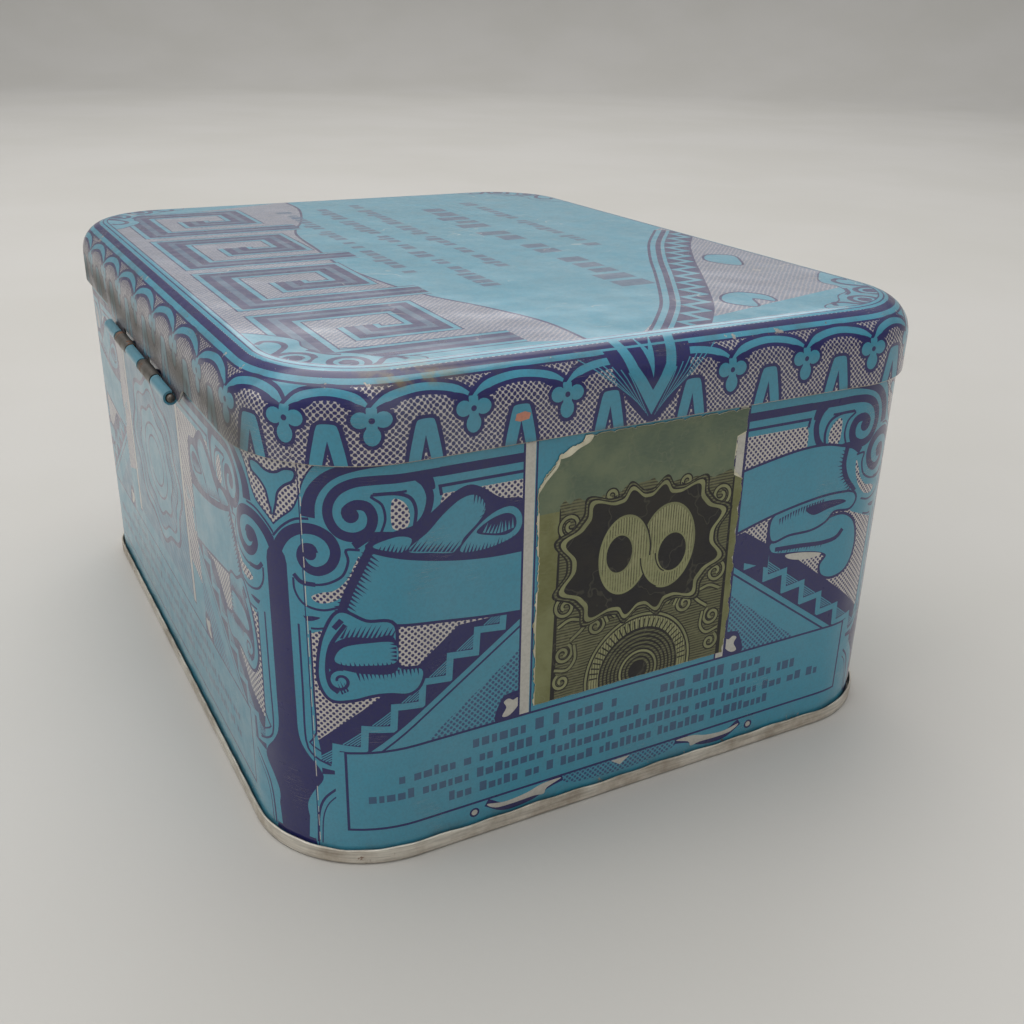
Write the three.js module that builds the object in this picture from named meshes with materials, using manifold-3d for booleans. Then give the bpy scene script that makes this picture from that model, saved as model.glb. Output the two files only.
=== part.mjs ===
/**
 * Hinged half-pound tin: a wrapped body with a seamed-on bottom, a drawn lid that turns on a
 * wire at the back, two tabs that hook the wire to the body, and a paper seal on one end.
 *
 * Millimetres, +Z up. The origin is on the resting plane under the middle of the body.
 * +X runs along the long side, -X is the end with the paper seal, +Y is the hinge side.
 */
import * as THREE from 'three';
import { mergeVertices } from 'three/addons/utils/BufferGeometryUtils.js';
import Module from 'manifold-3d';

const wasm = await Module();
wasm.setup();

// Driving dimensions
const bodyLength = 127; // outside, along X
const bodyDepth = 102; // outside, along Y
const tinHeight = 66.7; // resting plane to the top of the lid
const cornerRadius = 16.5; // outside, on the body's upright corners
const sheet = 0.3; // tinplate
const gap = 0.3; // between pieces that touch

const lidSkirt = 10.4; // lid top down to the skirt's edge at the front and the ends
const skirtBelowWire = 0.4; // the rear skirt's edge, below the wire's axis
const rearStepRun = 4; // length over which the edge drops to the rear skirt's depth
const rearStepMargin = 1; // rear skirt's full depth past the outer curls at each end
const lidEdgeRadius = 5.2; // outside, where the lid's top rolls into its skirt
const swingMargin = 0.15; // left between the front skirt and the wall as the lid swings past

const wallTopDrop = 4.4; // lid top down to the body wall's top edge
const hemDepth = 3; // the wall's top edge is folded in and down by this much
const hemThickness = 0.9;

const rimHeight = 2.3; // the bottom's seamed rim
const panelHeight = 1.5; // resting plane to the underside of the bottom panel
const lockSeamWidth = 5; // the body's side seam, folded to the inside
const lockSeamThickness = 0.9;
const lockSeamInset = 5.5; // from the end wall's flat face to the seam's middle, along Y

const wireRadius = 0.6;
const curlClearance = 0.12; // between the wire and the sheet curled round it
const wireDrop = 12.7; // lid top down to the wire's axis
const wireOverhang = 0.6; // the wire past the outer curls at each end
const hingeLength = 44; // across the outer curls
const curlCount = 5; // lid, tab, lid, tab, lid
const curlGap = 0.5; // between neighbouring curls
const tabDepth = 7; // a tab's leaf inside the back wall

const sealWidth = 32;
const sealTop = 0.5; // below the end skirt's edge
const sealBottom = 18.4; // resting plane to the paper's lower edge
const sealShift = 1.7; // the paper's middle, towards +Y
const paper = 0.12;

const arcSegments = 12; // for each upright corner
const edgeSegments = 6; // for the lid's rolled edge

// Sizes worked out from the ones above
const lidSkirtEdge = tinHeight - lidSkirt;
const wallTop = tinHeight - wallTopDrop;
const axisHeight = tinHeight - wireDrop;
const rearSkirtEdge = axisHeight - skirtBelowWire;
const wallAboveAxis = wallTop - axisHeight;
const skirtAboveAxis = lidSkirtEdge - axisHeight;

// The front skirt's edge moves in towards the wall as the lid turns, until it clears the wall's top.
const swingIn = (wallAboveAxis ** 2 - skirtAboveAxis ** 2) / (2 * bodyDepth);
const lidClearance = swingMargin + swingIn;
const lidOffset = lidClearance + sheet;

const curlInner = wireRadius + curlClearance;
const curlOuter = curlInner + sheet;
const axisY = bodyDepth / 2 + lidClearance + curlOuter;
const curlLength = (hingeLength - curlGap * (curlCount - 1)) / curlCount;

const tinplate = (color, roughness, metalness) =>
  new THREE.MeshStandardMaterial({ color, roughness, metalness });
const blueEnamel = tinplate(0x4a7d92, 0.35, 0.3);
const lidEnamel = tinplate(0x6f9fb2, 0.35, 0.3);
const bareTin = tinplate(0xb4aca4, 0.45, 0.9);
const steelWire = tinplate(0x8b8784, 0.4, 0.9);
const printedPaper = new THREE.MeshStandardMaterial({ color: 0x56634f, roughness: 0.9 });

/** A closed solid from a three.js geometry. */
function solid(geometry) {
  const bare = geometry.index ? geometry.toNonIndexed() : geometry.clone();
  bare.deleteAttribute('normal');
  bare.deleteAttribute('uv');
  const merged = mergeVertices(bare, 1e-4);
  return new wasm.Manifold(
    new wasm.Mesh({
      numProp: 3,
      vertProperties: new Float32Array(merged.attributes.position.array),
      triVerts: new Uint32Array(merged.index.array),
    }),
  );
}

/** A named mesh from a solid. */
function piece(name, body, material) {
  const mesh = body.getMesh();
  const geometry = new THREE.BufferGeometry();
  geometry.setAttribute('position', new THREE.BufferAttribute(mesh.vertProperties, 3));
  geometry.setIndex(new THREE.BufferAttribute(mesh.triVerts, 1));
  geometry.computeVertexNormals();
  const made = new THREE.Mesh(geometry, material);
  made.name = name;
  return made;
}

/** The body's plan, grown outwards by `grow`: a rectangle with round corners. */
function plan(grow) {
  const x = bodyLength / 2 - cornerRadius;
  const y = bodyDepth / 2 - cornerRadius;
  const radius = cornerRadius + grow;
  const shape = new THREE.Shape();
  shape.absarc(x, -y, radius, -Math.PI / 2, 0, false);
  shape.absarc(x, y, radius, 0, Math.PI / 2, false);
  shape.absarc(-x, y, radius, Math.PI / 2, Math.PI, false);
  shape.absarc(-x, -y, radius, Math.PI, 1.5 * Math.PI, false);
  return shape;
}

/** The plan grown by `grow`, as a solid from height `low` to height `high`. */
function slab(grow, low, high) {
  const options = { depth: high - low, bevelEnabled: false, curveSegments: arcSegments };
  return solid(new THREE.ExtrudeGeometry(plan(grow), options).translate(0, 0, low));
}

/** The plan grown by `grow`, its top edge rolled over with `radius`, up to height `high`. */
function rolledSlab(grow, radius, high) {
  const low = rearSkirtEdge - cornerRadius;
  const geometry = new THREE.ExtrudeGeometry(plan(grow), {
    depth: high - low - 2 * radius,
    bevelThickness: radius,
    bevelSize: radius,
    bevelOffset: -radius,
    bevelSegments: edgeSegments,
    curveSegments: arcSegments,
  });
  return solid(geometry.translate(0, 0, low + radius));
}

/** A box between two corners. */
function block(low, high) {
  const size = high.map((value, axis) => value - low[axis]);
  const middle = high.map((value, axis) => (value + low[axis]) / 2);
  return solid(new THREE.BoxGeometry(...size).translate(...middle));
}

/** A side view drawn with Y to the right and Z up, carried along X from `from` by `length`. */
function sideExtrusion(shape, from, length, curveSegments = arcSegments) {
  const geometry = new THREE.ExtrudeGeometry(shape, {
    depth: length,
    bevelEnabled: false,
    curveSegments,
  });
  const turn = new THREE.Matrix4().makeBasis(
    new THREE.Vector3(0, 1, 0),
    new THREE.Vector3(0, 0, 1),
    new THREE.Vector3(1, 0, 0),
  );
  return solid(geometry.applyMatrix4(turn).translate(from, 0, 0));
}

/** Where curl number `index` starts along X. */
function curlStart(index) {
  return -hingeLength / 2 + index * (curlLength + curlGap);
}

/** A lid curl in side view: down from the skirt, under the wire and up round its outside. */
function lidCurlShape() {
  const end = Math.PI * 2.6;
  const skirtOverlap = curlOuter + 1;
  const shape = new THREE.Shape();
  shape.moveTo(axisY - curlOuter, axisHeight + skirtOverlap);
  shape.absarc(axisY, axisHeight, curlOuter, Math.PI, end, false);
  shape.absarc(axisY, axisHeight, curlInner, end, Math.PI, true);
  shape.lineTo(axisY - curlInner, axisHeight + skirtOverlap);
  shape.closePath();
  return shape;
}

/** A tab in side view: a leaf inside the back wall, out through its slot and round the wire. */
function tabShape() {
  const leafOuter = bodyDepth / 2 - sheet - gap;
  const bottom = axisHeight - curlOuter;
  const end = Math.PI * 1.05;
  const shape = new THREE.Shape();
  shape.moveTo(leafOuter - sheet, bottom - tabDepth);
  shape.lineTo(leafOuter, bottom - tabDepth);
  shape.lineTo(leafOuter, bottom);
  shape.absarc(axisY, axisHeight, curlOuter, -Math.PI / 2, end, false);
  shape.absarc(axisY, axisHeight, curlInner, end, -Math.PI / 2, true);
  shape.lineTo(leafOuter - sheet, bottom + sheet);
  shape.closePath();
  return shape;
}

/** The body's wall: one wrapped sheet, its top edge hemmed in, its side seam locked inside. */
function makeBodyWall() {
  const floor = 2 * sheet;
  let wall = slab(0, floor, wallTop).subtract(slab(-sheet, floor - 1, wallTop + 1));
  const hem = slab(-sheet / 2, wallTop - hemDepth, wallTop);
  wall = wall.add(hem.subtract(slab(-hemThickness, floor, wallTop + 1)));

  // The lock seam is a thicker stretch of wall in the corner between the seal's end and the hinge.
  const seamY = bodyDepth / 2 - lockSeamInset;
  const seamZone = block(
    [-bodyLength / 2, seamY - lockSeamWidth / 2, rimHeight + gap],
    [-bodyLength / 2 + cornerRadius, seamY + lockSeamWidth / 2, wallTop],
  );
  const inside = slab(-lockSeamThickness, floor, wallTop + 1);
  wall = wall.add(slab(-sheet / 2, floor, wallTop).subtract(inside).intersect(seamZone));

  // Each tab comes out through a slot of its own.
  const slotBottom = axisHeight - curlOuter - gap;
  for (const index of [1, 3]) {
    const start = curlStart(index);
    const slot = block(
      [start - gap, bodyDepth / 2 - hemThickness - 1, slotBottom],
      [start + curlLength + gap, bodyDepth / 2 + 1, slotBottom + sheet + 2 * gap],
    );
    wall = wall.subtract(slot);
  }
  return piece('body_wall', wall, blueEnamel);
}

/** The bottom: a sunk panel whose edge is folded up round the wall's foot as a bare rim. */
function makeBottomPlate() {
  const outside = gap + sheet;
  const inside = -(sheet + gap);
  const rim = slab(outside, 0, rimHeight);
  const wallGroove = slab(gap, sheet, rimHeight + 1).subtract(slab(inside, sheet, rimHeight + 1));
  const hollowAbove = slab(inside - sheet, panelHeight + sheet, rimHeight + 1);
  const hollowBelow = slab(inside - sheet, -1, panelHeight);
  return piece('bottom_plate', rim.subtract(wallGroove).subtract(hollowAbove).subtract(hollowBelow), bareTin);
}

/** The lid: one drawn shell, its skirt deeper along the hinge and curled round the wire. */
function makeLid() {
  const shell = rolledSlab(lidOffset, lidEdgeRadius, tinHeight).subtract(
    rolledSlab(lidClearance, lidEdgeRadius - sheet, tinHeight - sheet),
  );

  // The skirt's edge is level all round, and drops only along the hinge.
  const reach = bodyDepth / 2 + lidOffset + 1;
  const stepEnd = hingeLength / 2 + rearStepMargin;
  const drop = new THREE.Shape();
  drop.moveTo(-stepEnd - rearStepRun, lidSkirtEdge);
  drop.lineTo(-stepEnd, rearSkirtEdge);
  drop.lineTo(stepEnd, rearSkirtEdge);
  drop.lineTo(stepEnd + rearStepRun, lidSkirtEdge);
  drop.lineTo(stepEnd + rearStepRun, lidSkirtEdge + 1);
  drop.lineTo(-stepEnd - rearStepRun, lidSkirtEdge + 1);
  drop.closePath();
  const dropGeometry = new THREE.ExtrudeGeometry(drop, { depth: reach, bevelEnabled: false });
  const level = block([-bodyLength, -reach, lidSkirtEdge], [bodyLength, reach, tinHeight + 1]);
  const kept = level.add(solid(dropGeometry.rotateX(Math.PI / 2).translate(0, reach, 0)));
  let lid = shell.intersect(kept);

  for (const index of [0, 2, 4]) {
    lid = lid.add(sideExtrusion(lidCurlShape(), curlStart(index), curlLength));
  }
  for (const index of [1, 3]) {
    const start = curlStart(index);
    const notch = block(
      [start - curlGap, bodyDepth / 2 + lidClearance / 2, rearSkirtEdge - 1],
      [start + curlLength + curlGap, bodyDepth / 2 + lidOffset + 1, axisHeight + curlOuter + gap],
    );
    lid = lid.subtract(notch);
  }
  return piece('lid', lid, lidEnamel);
}

/** The hinge's wire, straight through all the curls. */
function makeHingeWire() {
  const length = hingeLength + 2 * wireOverhang;
  const geometry = new THREE.CylinderGeometry(wireRadius, wireRadius, length, 24);
  const wire = piece('hinge_wire', solid(geometry), steelWire);
  wire.rotation.z = Math.PI / 2;
  wire.position.set(0, axisY, axisHeight);
  return wire;
}

/** One of the two tabs that hook the wire to the body. */
function makeHingeTab(name, index) {
  return piece(name, sideExtrusion(tabShape(), curlStart(index), curlLength), bareTin);
}

/** The paper seal on the end wall, up to just under the lid's skirt. */
function makePaperSeal() {
  const inner = -bodyLength / 2 - gap;
  const seal = block(
    [inner - paper, sealShift - sealWidth / 2, sealBottom],
    [inner, sealShift + sealWidth / 2, lidSkirtEdge - sealTop],
  );
  return piece('paper_seal', seal, printedPaper);
}

const tin = new THREE.Group();
tin.add(makeBodyWall());
tin.add(makeBottomPlate());
tin.add(makeLid());
tin.add(makeHingeWire());
tin.add(makeHingeTab('hinge_tab_left', 1));
tin.add(makeHingeTab('hinge_tab_right', 3));
tin.add(makePaperSeal());

export default tin;
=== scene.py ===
"""The looks of a hinged half-pound tin with printed sides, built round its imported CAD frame.

The printed skins are drawn as flat artwork in millimetres, cut into triangles ink by ink, and laid
onto the tin's curved sheet. Artwork coordinates: on the body, u runs round the wall from the middle
of the end with the paper seal (u = 0) and z is height; on the lid, the skirt uses the same u and the
height z, and the top uses plan coordinates.
"""

import logging
import math
from collections.abc import Callable, Sequence
from dataclasses import dataclass, field
from enum import Enum

import bpy
import numpy as np
from mathutils import Matrix, Vector
from mathutils.geometry import delaunay_2d_cdt

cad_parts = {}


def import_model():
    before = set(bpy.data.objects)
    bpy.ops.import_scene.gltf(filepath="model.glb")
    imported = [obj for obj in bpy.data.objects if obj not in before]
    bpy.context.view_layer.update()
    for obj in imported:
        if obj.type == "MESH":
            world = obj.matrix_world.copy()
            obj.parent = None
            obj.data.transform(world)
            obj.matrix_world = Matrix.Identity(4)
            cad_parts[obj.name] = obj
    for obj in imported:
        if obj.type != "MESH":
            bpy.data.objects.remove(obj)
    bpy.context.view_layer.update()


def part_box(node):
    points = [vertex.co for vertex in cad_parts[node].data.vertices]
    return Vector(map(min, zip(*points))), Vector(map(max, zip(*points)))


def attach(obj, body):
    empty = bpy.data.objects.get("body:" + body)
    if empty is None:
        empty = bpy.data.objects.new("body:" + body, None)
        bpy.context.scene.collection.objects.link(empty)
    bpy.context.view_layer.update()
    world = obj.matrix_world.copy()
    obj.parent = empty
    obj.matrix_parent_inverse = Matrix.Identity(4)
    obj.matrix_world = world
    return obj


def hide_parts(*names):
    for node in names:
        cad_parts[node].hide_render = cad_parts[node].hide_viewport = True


log = logging.getLogger("tin")

MM = 0.001
SHEET = 0.3  # the tinplate's thickness
SEAM = -48.0  # u of the wall's lock seam

Array = np.ndarray
Points = Sequence[tuple[float, float]]
Laying = Callable[[Array], tuple[Array, Array]]


class Ink(Enum):
    """What a stretch of printed surface is covered with. The value names the finish's material."""

    BLUE = "blue_enamel"
    NAVY = "navy_enamel"
    DOTTED = "dotted_tin"
    SCATTERED = "scatter_dotted_tin"
    STIPPLED = "stippled_blue"
    GREY_FIELD = "stippled_grey"
    PALE = "bare_strip"
    UNDERCOAT = "salmon_undercoat"
    FAINT = "faint_blue_ink"
    PLAIN = "lacquered_tin"
    INSIDE = "gold_lacquer"
    SEAL_GREEN = "seal_paper"
    SEAL_MARGIN = "seal_margin"
    SEAL_ENGRAVED = "seal_engraving"
    SEAL_BLACK = "seal_black_ink"
    SEAL_LIGHT = "seal_light_line"
    SEAL_HATCH = "seal_hatched_figure"
    TORN = "torn_paper_fibre"


# ---------------------------------------------------------------- flat curves


def arc(cx: float, cy: float, radius: float, start: float, end: float, steps: int = 0) -> Array:
    """Points on a circle: the centre plus the radius turned from `start` to `end` degrees.

    Args:
        cx: the circle's middle, across.
        cy: the circle's middle, up.
        radius: its radius.
        start: the first angle, in degrees.
        end: the last angle, in degrees.
        steps: how many pieces; 0 chooses by size.

    Returns:
        The points, one per row.
    """
    steps = steps or max(4, int(abs(end - start) * math.sqrt(radius) / 14))
    angles = np.radians(np.linspace(start, end, steps + 1))
    return np.stack([cx + radius * np.cos(angles), cy + radius * np.sin(angles)], axis=1)


def ellipse(cx: float, cy: float, rx: float, ry: float, tilt: float = 0.0, steps: int = 28) -> Array:
    """A closed ellipse about a centre, its long axis turned by `tilt` degrees.

    Args:
        cx: the middle, across.
        cy: the middle, up.
        rx: half the width.
        ry: half the height.
        tilt: the turn of its long axis, in degrees.
        steps: how many pieces it is made of.

    Returns:
        The points, one per row.
    """
    angles = np.linspace(0, 2 * math.pi, steps, endpoint=False)
    local = np.stack([rx * np.cos(angles), ry * np.sin(angles)], axis=1)
    return turned(local, tilt) + (cx, cy)


def turned(points: Array, degrees: float) -> Array:
    """Points turned about the origin by an angle."""
    c, s = math.cos(math.radians(degrees)), math.sin(math.radians(degrees))
    return np.asarray(points, float) @ np.array([[c, s], [-s, c]])


def curve(points: Points, closed: bool = False, step: float = 0.6) -> Array:
    """A smooth curve through points: a centripetal cubic, in which each tangent follows its neighbours.

    Args:
        points: the points that the curve passes through.
        closed: whether the curve joins up with its start.
        step: the rough distance between the curve's samples.

    Returns:
        The samples, one per row.
    """
    p = np.asarray(points, float)
    count = len(p)
    if closed:
        before, after, follow = np.roll(p, 1, 0), np.roll(p, -1, 0), np.roll(p, -2, 0)
        starts = count
    else:
        before = np.concatenate([2 * p[:1] - p[1:2], p[:-1]])
        after = np.concatenate([p[1:], 2 * p[-1:] - p[-2:-1]])
        follow = np.concatenate([after[1:], 2 * after[-1:] - p[-1:]])
        starts = count - 1
    pieces = []
    for i in range(starts):
        length = float(np.linalg.norm(after[i] - p[i]))
        t = np.linspace(0, 1, max(2, int(length / step) + 2), endpoint=False)[:, None]
        a, b, c, d = before[i], p[i], after[i], follow[i]
        pieces.append(
            0.5 * (
                2 * b + (c - a) * t + (2 * a - 5 * b + 4 * c - d) * t**2 + (3 * b - a - 3 * c + d) * t**3
            )
        )
    if not closed:
        pieces.append(p[-1:])
    return np.concatenate(pieces)


def spiral(cx: float, cy: float, outer: float, inner: float, start: float, turns: float) -> Array:
    """An even spiral from the outer radius to the inner: the radius falls steadily with the angle.

    Args:
        cx: the middle, across.
        cy: the middle, up.
        outer: the radius where it starts.
        inner: the radius where it ends.
        start: the angle where it starts, in degrees.
        turns: how often it goes round; negative goes clockwise.

    Returns:
        The points, one per row.
    """
    steps = max(12, int(abs(turns) * 34))
    t = np.linspace(0, 1, steps + 1)
    angles = np.radians(start + turns * 360 * t)
    radius = outer + (inner - outer) * t
    return np.stack([cx + radius * np.cos(angles), cy + radius * np.sin(angles)], axis=1)


def run_along(path: Array) -> Array:
    """The distance run along a path at each of its points."""
    return np.concatenate([[0], np.cumsum(np.linalg.norm(np.diff(path, axis=0), axis=1))])


def sampled(stops: Array, run: Array, points: Array) -> Array:
    """Points read at other stops, where `run` is the distance at which each is known."""
    return np.stack([np.interp(stops, run, points[:, k]) for k in (0, 1)], axis=1)


def offsets(path: Array, closed: bool) -> Array:
    """The mitred unit offset at each point of a path, to its left.

    Args:
        path: the points along it.
        closed: whether it joins up with its start.

    Returns:
        One offset per point; longer than 1 where the path bends.
    """
    nxt = np.roll(path, -1, 0) - path
    if not closed:
        nxt[-1] = nxt[-2]
    nxt /= np.maximum(np.linalg.norm(nxt, axis=1, keepdims=True), 1e-9)
    normal = np.stack([-nxt[:, 1], nxt[:, 0]], axis=1)
    before = np.roll(normal, 1, 0)
    if not closed:
        before[0] = normal[0]
    middle = normal + before
    middle /= np.maximum(np.linalg.norm(middle, axis=1, keepdims=True), 1e-9)
    lean = np.clip((middle * normal).sum(axis=1, keepdims=True), 0.45, 1)
    return middle / lean


def ribbon(path: Array, width: float | Array, closed: bool = False) -> list[Array]:
    """The outline of a line with width: the path moved half the width to each side.

    Args:
        path: the points along it.
        width: its width, or one at each point.
        closed: whether it joins up with its start.

    Returns:
        The loops that bound it: one, or an outer and an inner if closed.
    """
    path = np.asarray(path, float)
    half = np.broadcast_to(np.asarray(width, float) / 2, (len(path),))[:, None]
    side = offsets(path, closed) * half
    if closed:
        return [path + side, path - side]
    return [np.concatenate([path + side, (path - side)[::-1]])]


# ---------------------------------------------------------------- artwork


@dataclass
class Artwork:
    """Flat artwork in layers, each an ink and the closed loops that bound it (even-odd)."""

    ground: Ink
    layers: list[tuple[Ink, list[Array]]] = field(default_factory=list)

    def cut(self, borders: list[Array], ties: list[Array], lay: Laying) -> "Skin":
        """Cuts the artwork into triangles of one ink each and lays them onto a surface.

        Every loop's edge becomes a triangle edge (a constrained Delaunay cut), then each triangle
        takes the ink of the last layer whose loops hold its middle an odd number of times.

        Args:
            borders: the closed outline of the whole artwork, and one loop for each hole.
            ties: open paths that must be triangle edges too, so that bends stay smooth.
            lay: turns flat points into places and normals.

        Returns:
            The laid skin.
        """
        loops = borders + [loop for _, group in self.layers for loop in group]
        points, edges = chain(loops, ties)
        flat, _, faces, *_ = delaunay_2d_cdt(
            [Vector(p) for p in points.tolist()], edges.tolist(), [], 0, 1e-5, False
        )
        flat = np.array([tuple(v) for v in flat], float)
        faces = np.array([f for f in faces if len(f) == 3], int)
        a, b, c = (flat[faces[:, i]] for i in range(3))
        turn = (b - a)[:, 0] * (c - a)[:, 1] - (b - a)[:, 1] * (c - a)[:, 0]
        faces = np.where((turn < 0)[:, None], faces[:, ::-1], faces)[np.abs(turn) > 1e-9]
        middles = flat[faces].mean(axis=1)
        keep = inside(middles, borders)
        faces, middles = faces[keep], middles[keep]
        inks = np.full(len(faces), list(Ink).index(self.ground))
        for ink, group in self.layers:
            low = np.min([loop.min(axis=0) for loop in group], axis=0)
            high = np.max([loop.max(axis=0) for loop in group], axis=0)
            near = np.flatnonzero(((middles >= low) & (middles <= high)).all(axis=1))
            inks[near[inside(middles[near], group)]] = list(Ink).index(ink)
        places, normals = lay(flat)
        return Skin(places, faces, normals[faces], flat[faces], inks)


def chain(loops: list[Array], ties: list[Array]) -> tuple[Array, Array]:
    """All loops and open paths as one list of distinct points and the edges between them.

    Args:
        loops: closed outlines.
        ties: open paths.

    Returns:
        The points, and the pairs of points that are joined.
    """
    runs = [
        (np.asarray(loop, float), True) for loop in loops
    ] + [(np.asarray(t, float), False) for t in ties]
    points = np.round(np.concatenate([run for run, _ in runs]), 4)
    edges, start = [], 0
    for run, closed in runs:
        index = np.arange(start, start + len(run))
        edges.append(np.stack([index, np.roll(index, -1)], axis=1)[: None if closed else -1])
        start += len(run)
    distinct, where = np.unique(points, axis=0, return_inverse=True)
    joined = where.ravel()[np.concatenate(edges)]
    joined = joined[joined[:, 0] != joined[:, 1]]
    return distinct, np.unique(np.sort(joined, axis=1), axis=0)


def inside(points: Array, loops: list[Array]) -> Array:
    """Which points lie within the loops: an odd number of edges is crossed by a ray to the right.

    Args:
        points: the points to test.
        loops: the closed outlines.

    Returns:
        True for each point that lies within.
    """
    found = np.zeros(len(points), bool)
    if not len(points):
        return found
    a = np.concatenate([np.asarray(loop, float) for loop in loops])
    b = np.concatenate([np.roll(np.asarray(loop, float), -1, 0) for loop in loops])
    for first in range(0, len(points), 4000):
        p = points[first : first + 4000, None, :]
        spans = (a[:, 1] > p[..., 1]) != (b[:, 1] > p[..., 1])
        rise = np.where(a[:, 1] == b[:, 1], 1, b[:, 1] - a[:, 1])
        cross = a[:, 0] + (p[..., 1] - a[:, 1]) / rise * (b[:, 0] - a[:, 0])
        found[first : first + 4000] = (spans & (cross > p[..., 0])).sum(axis=1) % 2 == 1
    return found


@dataclass
class Pen:
    """Draws into artwork through a placing that moves, turns or mirrors what is drawn."""

    art: Artwork
    place: Callable[[Array], Array] = lambda p: p

    def area(self, ink: Ink, *loops: Array | Points) -> None:
        """Fills closed loops with an ink."""
        self.art.layers.append((ink, [self.place(np.asarray(loop, float)) for loop in loops]))

    def line(self, ink: Ink, path: Array | Points, width: float | Array, closed: bool = False) -> None:
        """Draws a line with width along a path."""
        self.area(ink, *ribbon(path, width, closed))

    def shape(self, ink: Ink, points: Points, step: float = 0.6) -> None:
        """Fills the smooth closed curve through points with an ink."""
        self.area(ink, curve(points, True, step))

    def stroke(self, points: Points, width: float, step: float = 0.6, ink: Ink = Ink.NAVY) -> None:
        """Draws a line with width along the smooth curve through points."""
        self.line(ink, curve(points, step=step), width)

    def comb(
        self, path: Array, length: float, pitch: float, lean: float, seed: int, ink: Ink = Ink.NAVY
    ) -> None:
        """Sets fine pointed strokes off a path to its left."""
        self.area(ink, *teeth(path, length, pitch, lean, seed))

    def cased(self, path: Array, width: float, casing: float = 0.3, closed: bool = False) -> None:
        """Draws a blue band with a navy line along both its edges."""
        self.line(Ink.NAVY, path, width + 2 * casing, closed)
        self.line(Ink.BLUE, path, width, closed)

    def cased_area(self, loop: Array, casing: float = 0.35, ink: Ink = Ink.BLUE) -> None:
        """Fills a loop, with a navy line round its outside."""
        self.area(Ink.NAVY, np.asarray(loop) - offsets(
            np.asarray(loop, float), True
        ) * casing * winding(loop))
        self.area(ink, loop)

    def box(self, ink: Ink, left: float, right: float, low: float, high: float) -> None:
        """Fills an upright rectangle."""
        self.area(ink, np.array([(left, low), (right, low), (right, high), (left, high)]))


def winding(loop: Array) -> float:
    """1 for a loop that runs anticlockwise, -1 for one that runs clockwise.

    Args:
        loop: the closed outline.

    Returns:
        1 or -1.
    """
    p = np.asarray(loop, float)
    q = np.roll(p, -1, 0)
    return math.copysign(1.0, float((p[:, 0] * q[:, 1] - q[:, 0] * p[:, 1]).sum()))


# ---------------------------------------------------------------- surfaces


@dataclass
class Skin:
    """Triangles with a normal and a print coordinate at each corner, and an ink on each face."""

    places: Array
    faces: Array
    normals: Array
    prints: Array
    inks: Array

    def turned_inside_out(self) -> "Skin":
        """The same skin, facing the other way.

        Returns:
            The turned skin.
        """
        return Skin(
            self.places, self.faces[:, ::-1], -self.normals[:, ::-1], self.prints[:, ::-1], self.inks
        )


def grid_skin(places: Array, normals: Array, prints: Array, ink: Ink) -> Skin:
    """A grid of points, rows by columns, as triangles that face along rows x columns.

    Args:
        places: the points, by row and column.
        normals: the normal at each point.
        prints: the print coordinates of each point.
        ink: what it is covered with.

    Returns:
        The grid as a skin.
    """
    rows, columns = places.shape[:2]
    index = np.arange(rows * columns).reshape(rows, columns)
    a, b, c, d = index[:-1, :-1], index[1:, :-1], index[1:, 1:], index[:-1, 1:]
    faces = np.concatenate([np.stack([a, b, c], -1).reshape(-1, 3), np.stack([a, c, d], -1).reshape(-1, 3)])
    flat = places.reshape(-1, 3)
    edge_a, edge_b = flat[faces[:, 1]] - flat[faces[:, 0]], flat[faces[:, 2]] - flat[faces[:, 0]]
    faces = faces[np.linalg.norm(np.cross(edge_a, edge_b), axis=1) > 1e-9]
    return Skin(
        flat,
        faces,
        normals.reshape(-1, 3)[faces],
        prints.reshape(-1, 2)[faces],
        np.full(len(faces), list(Ink).index(ink)),
    )


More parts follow.
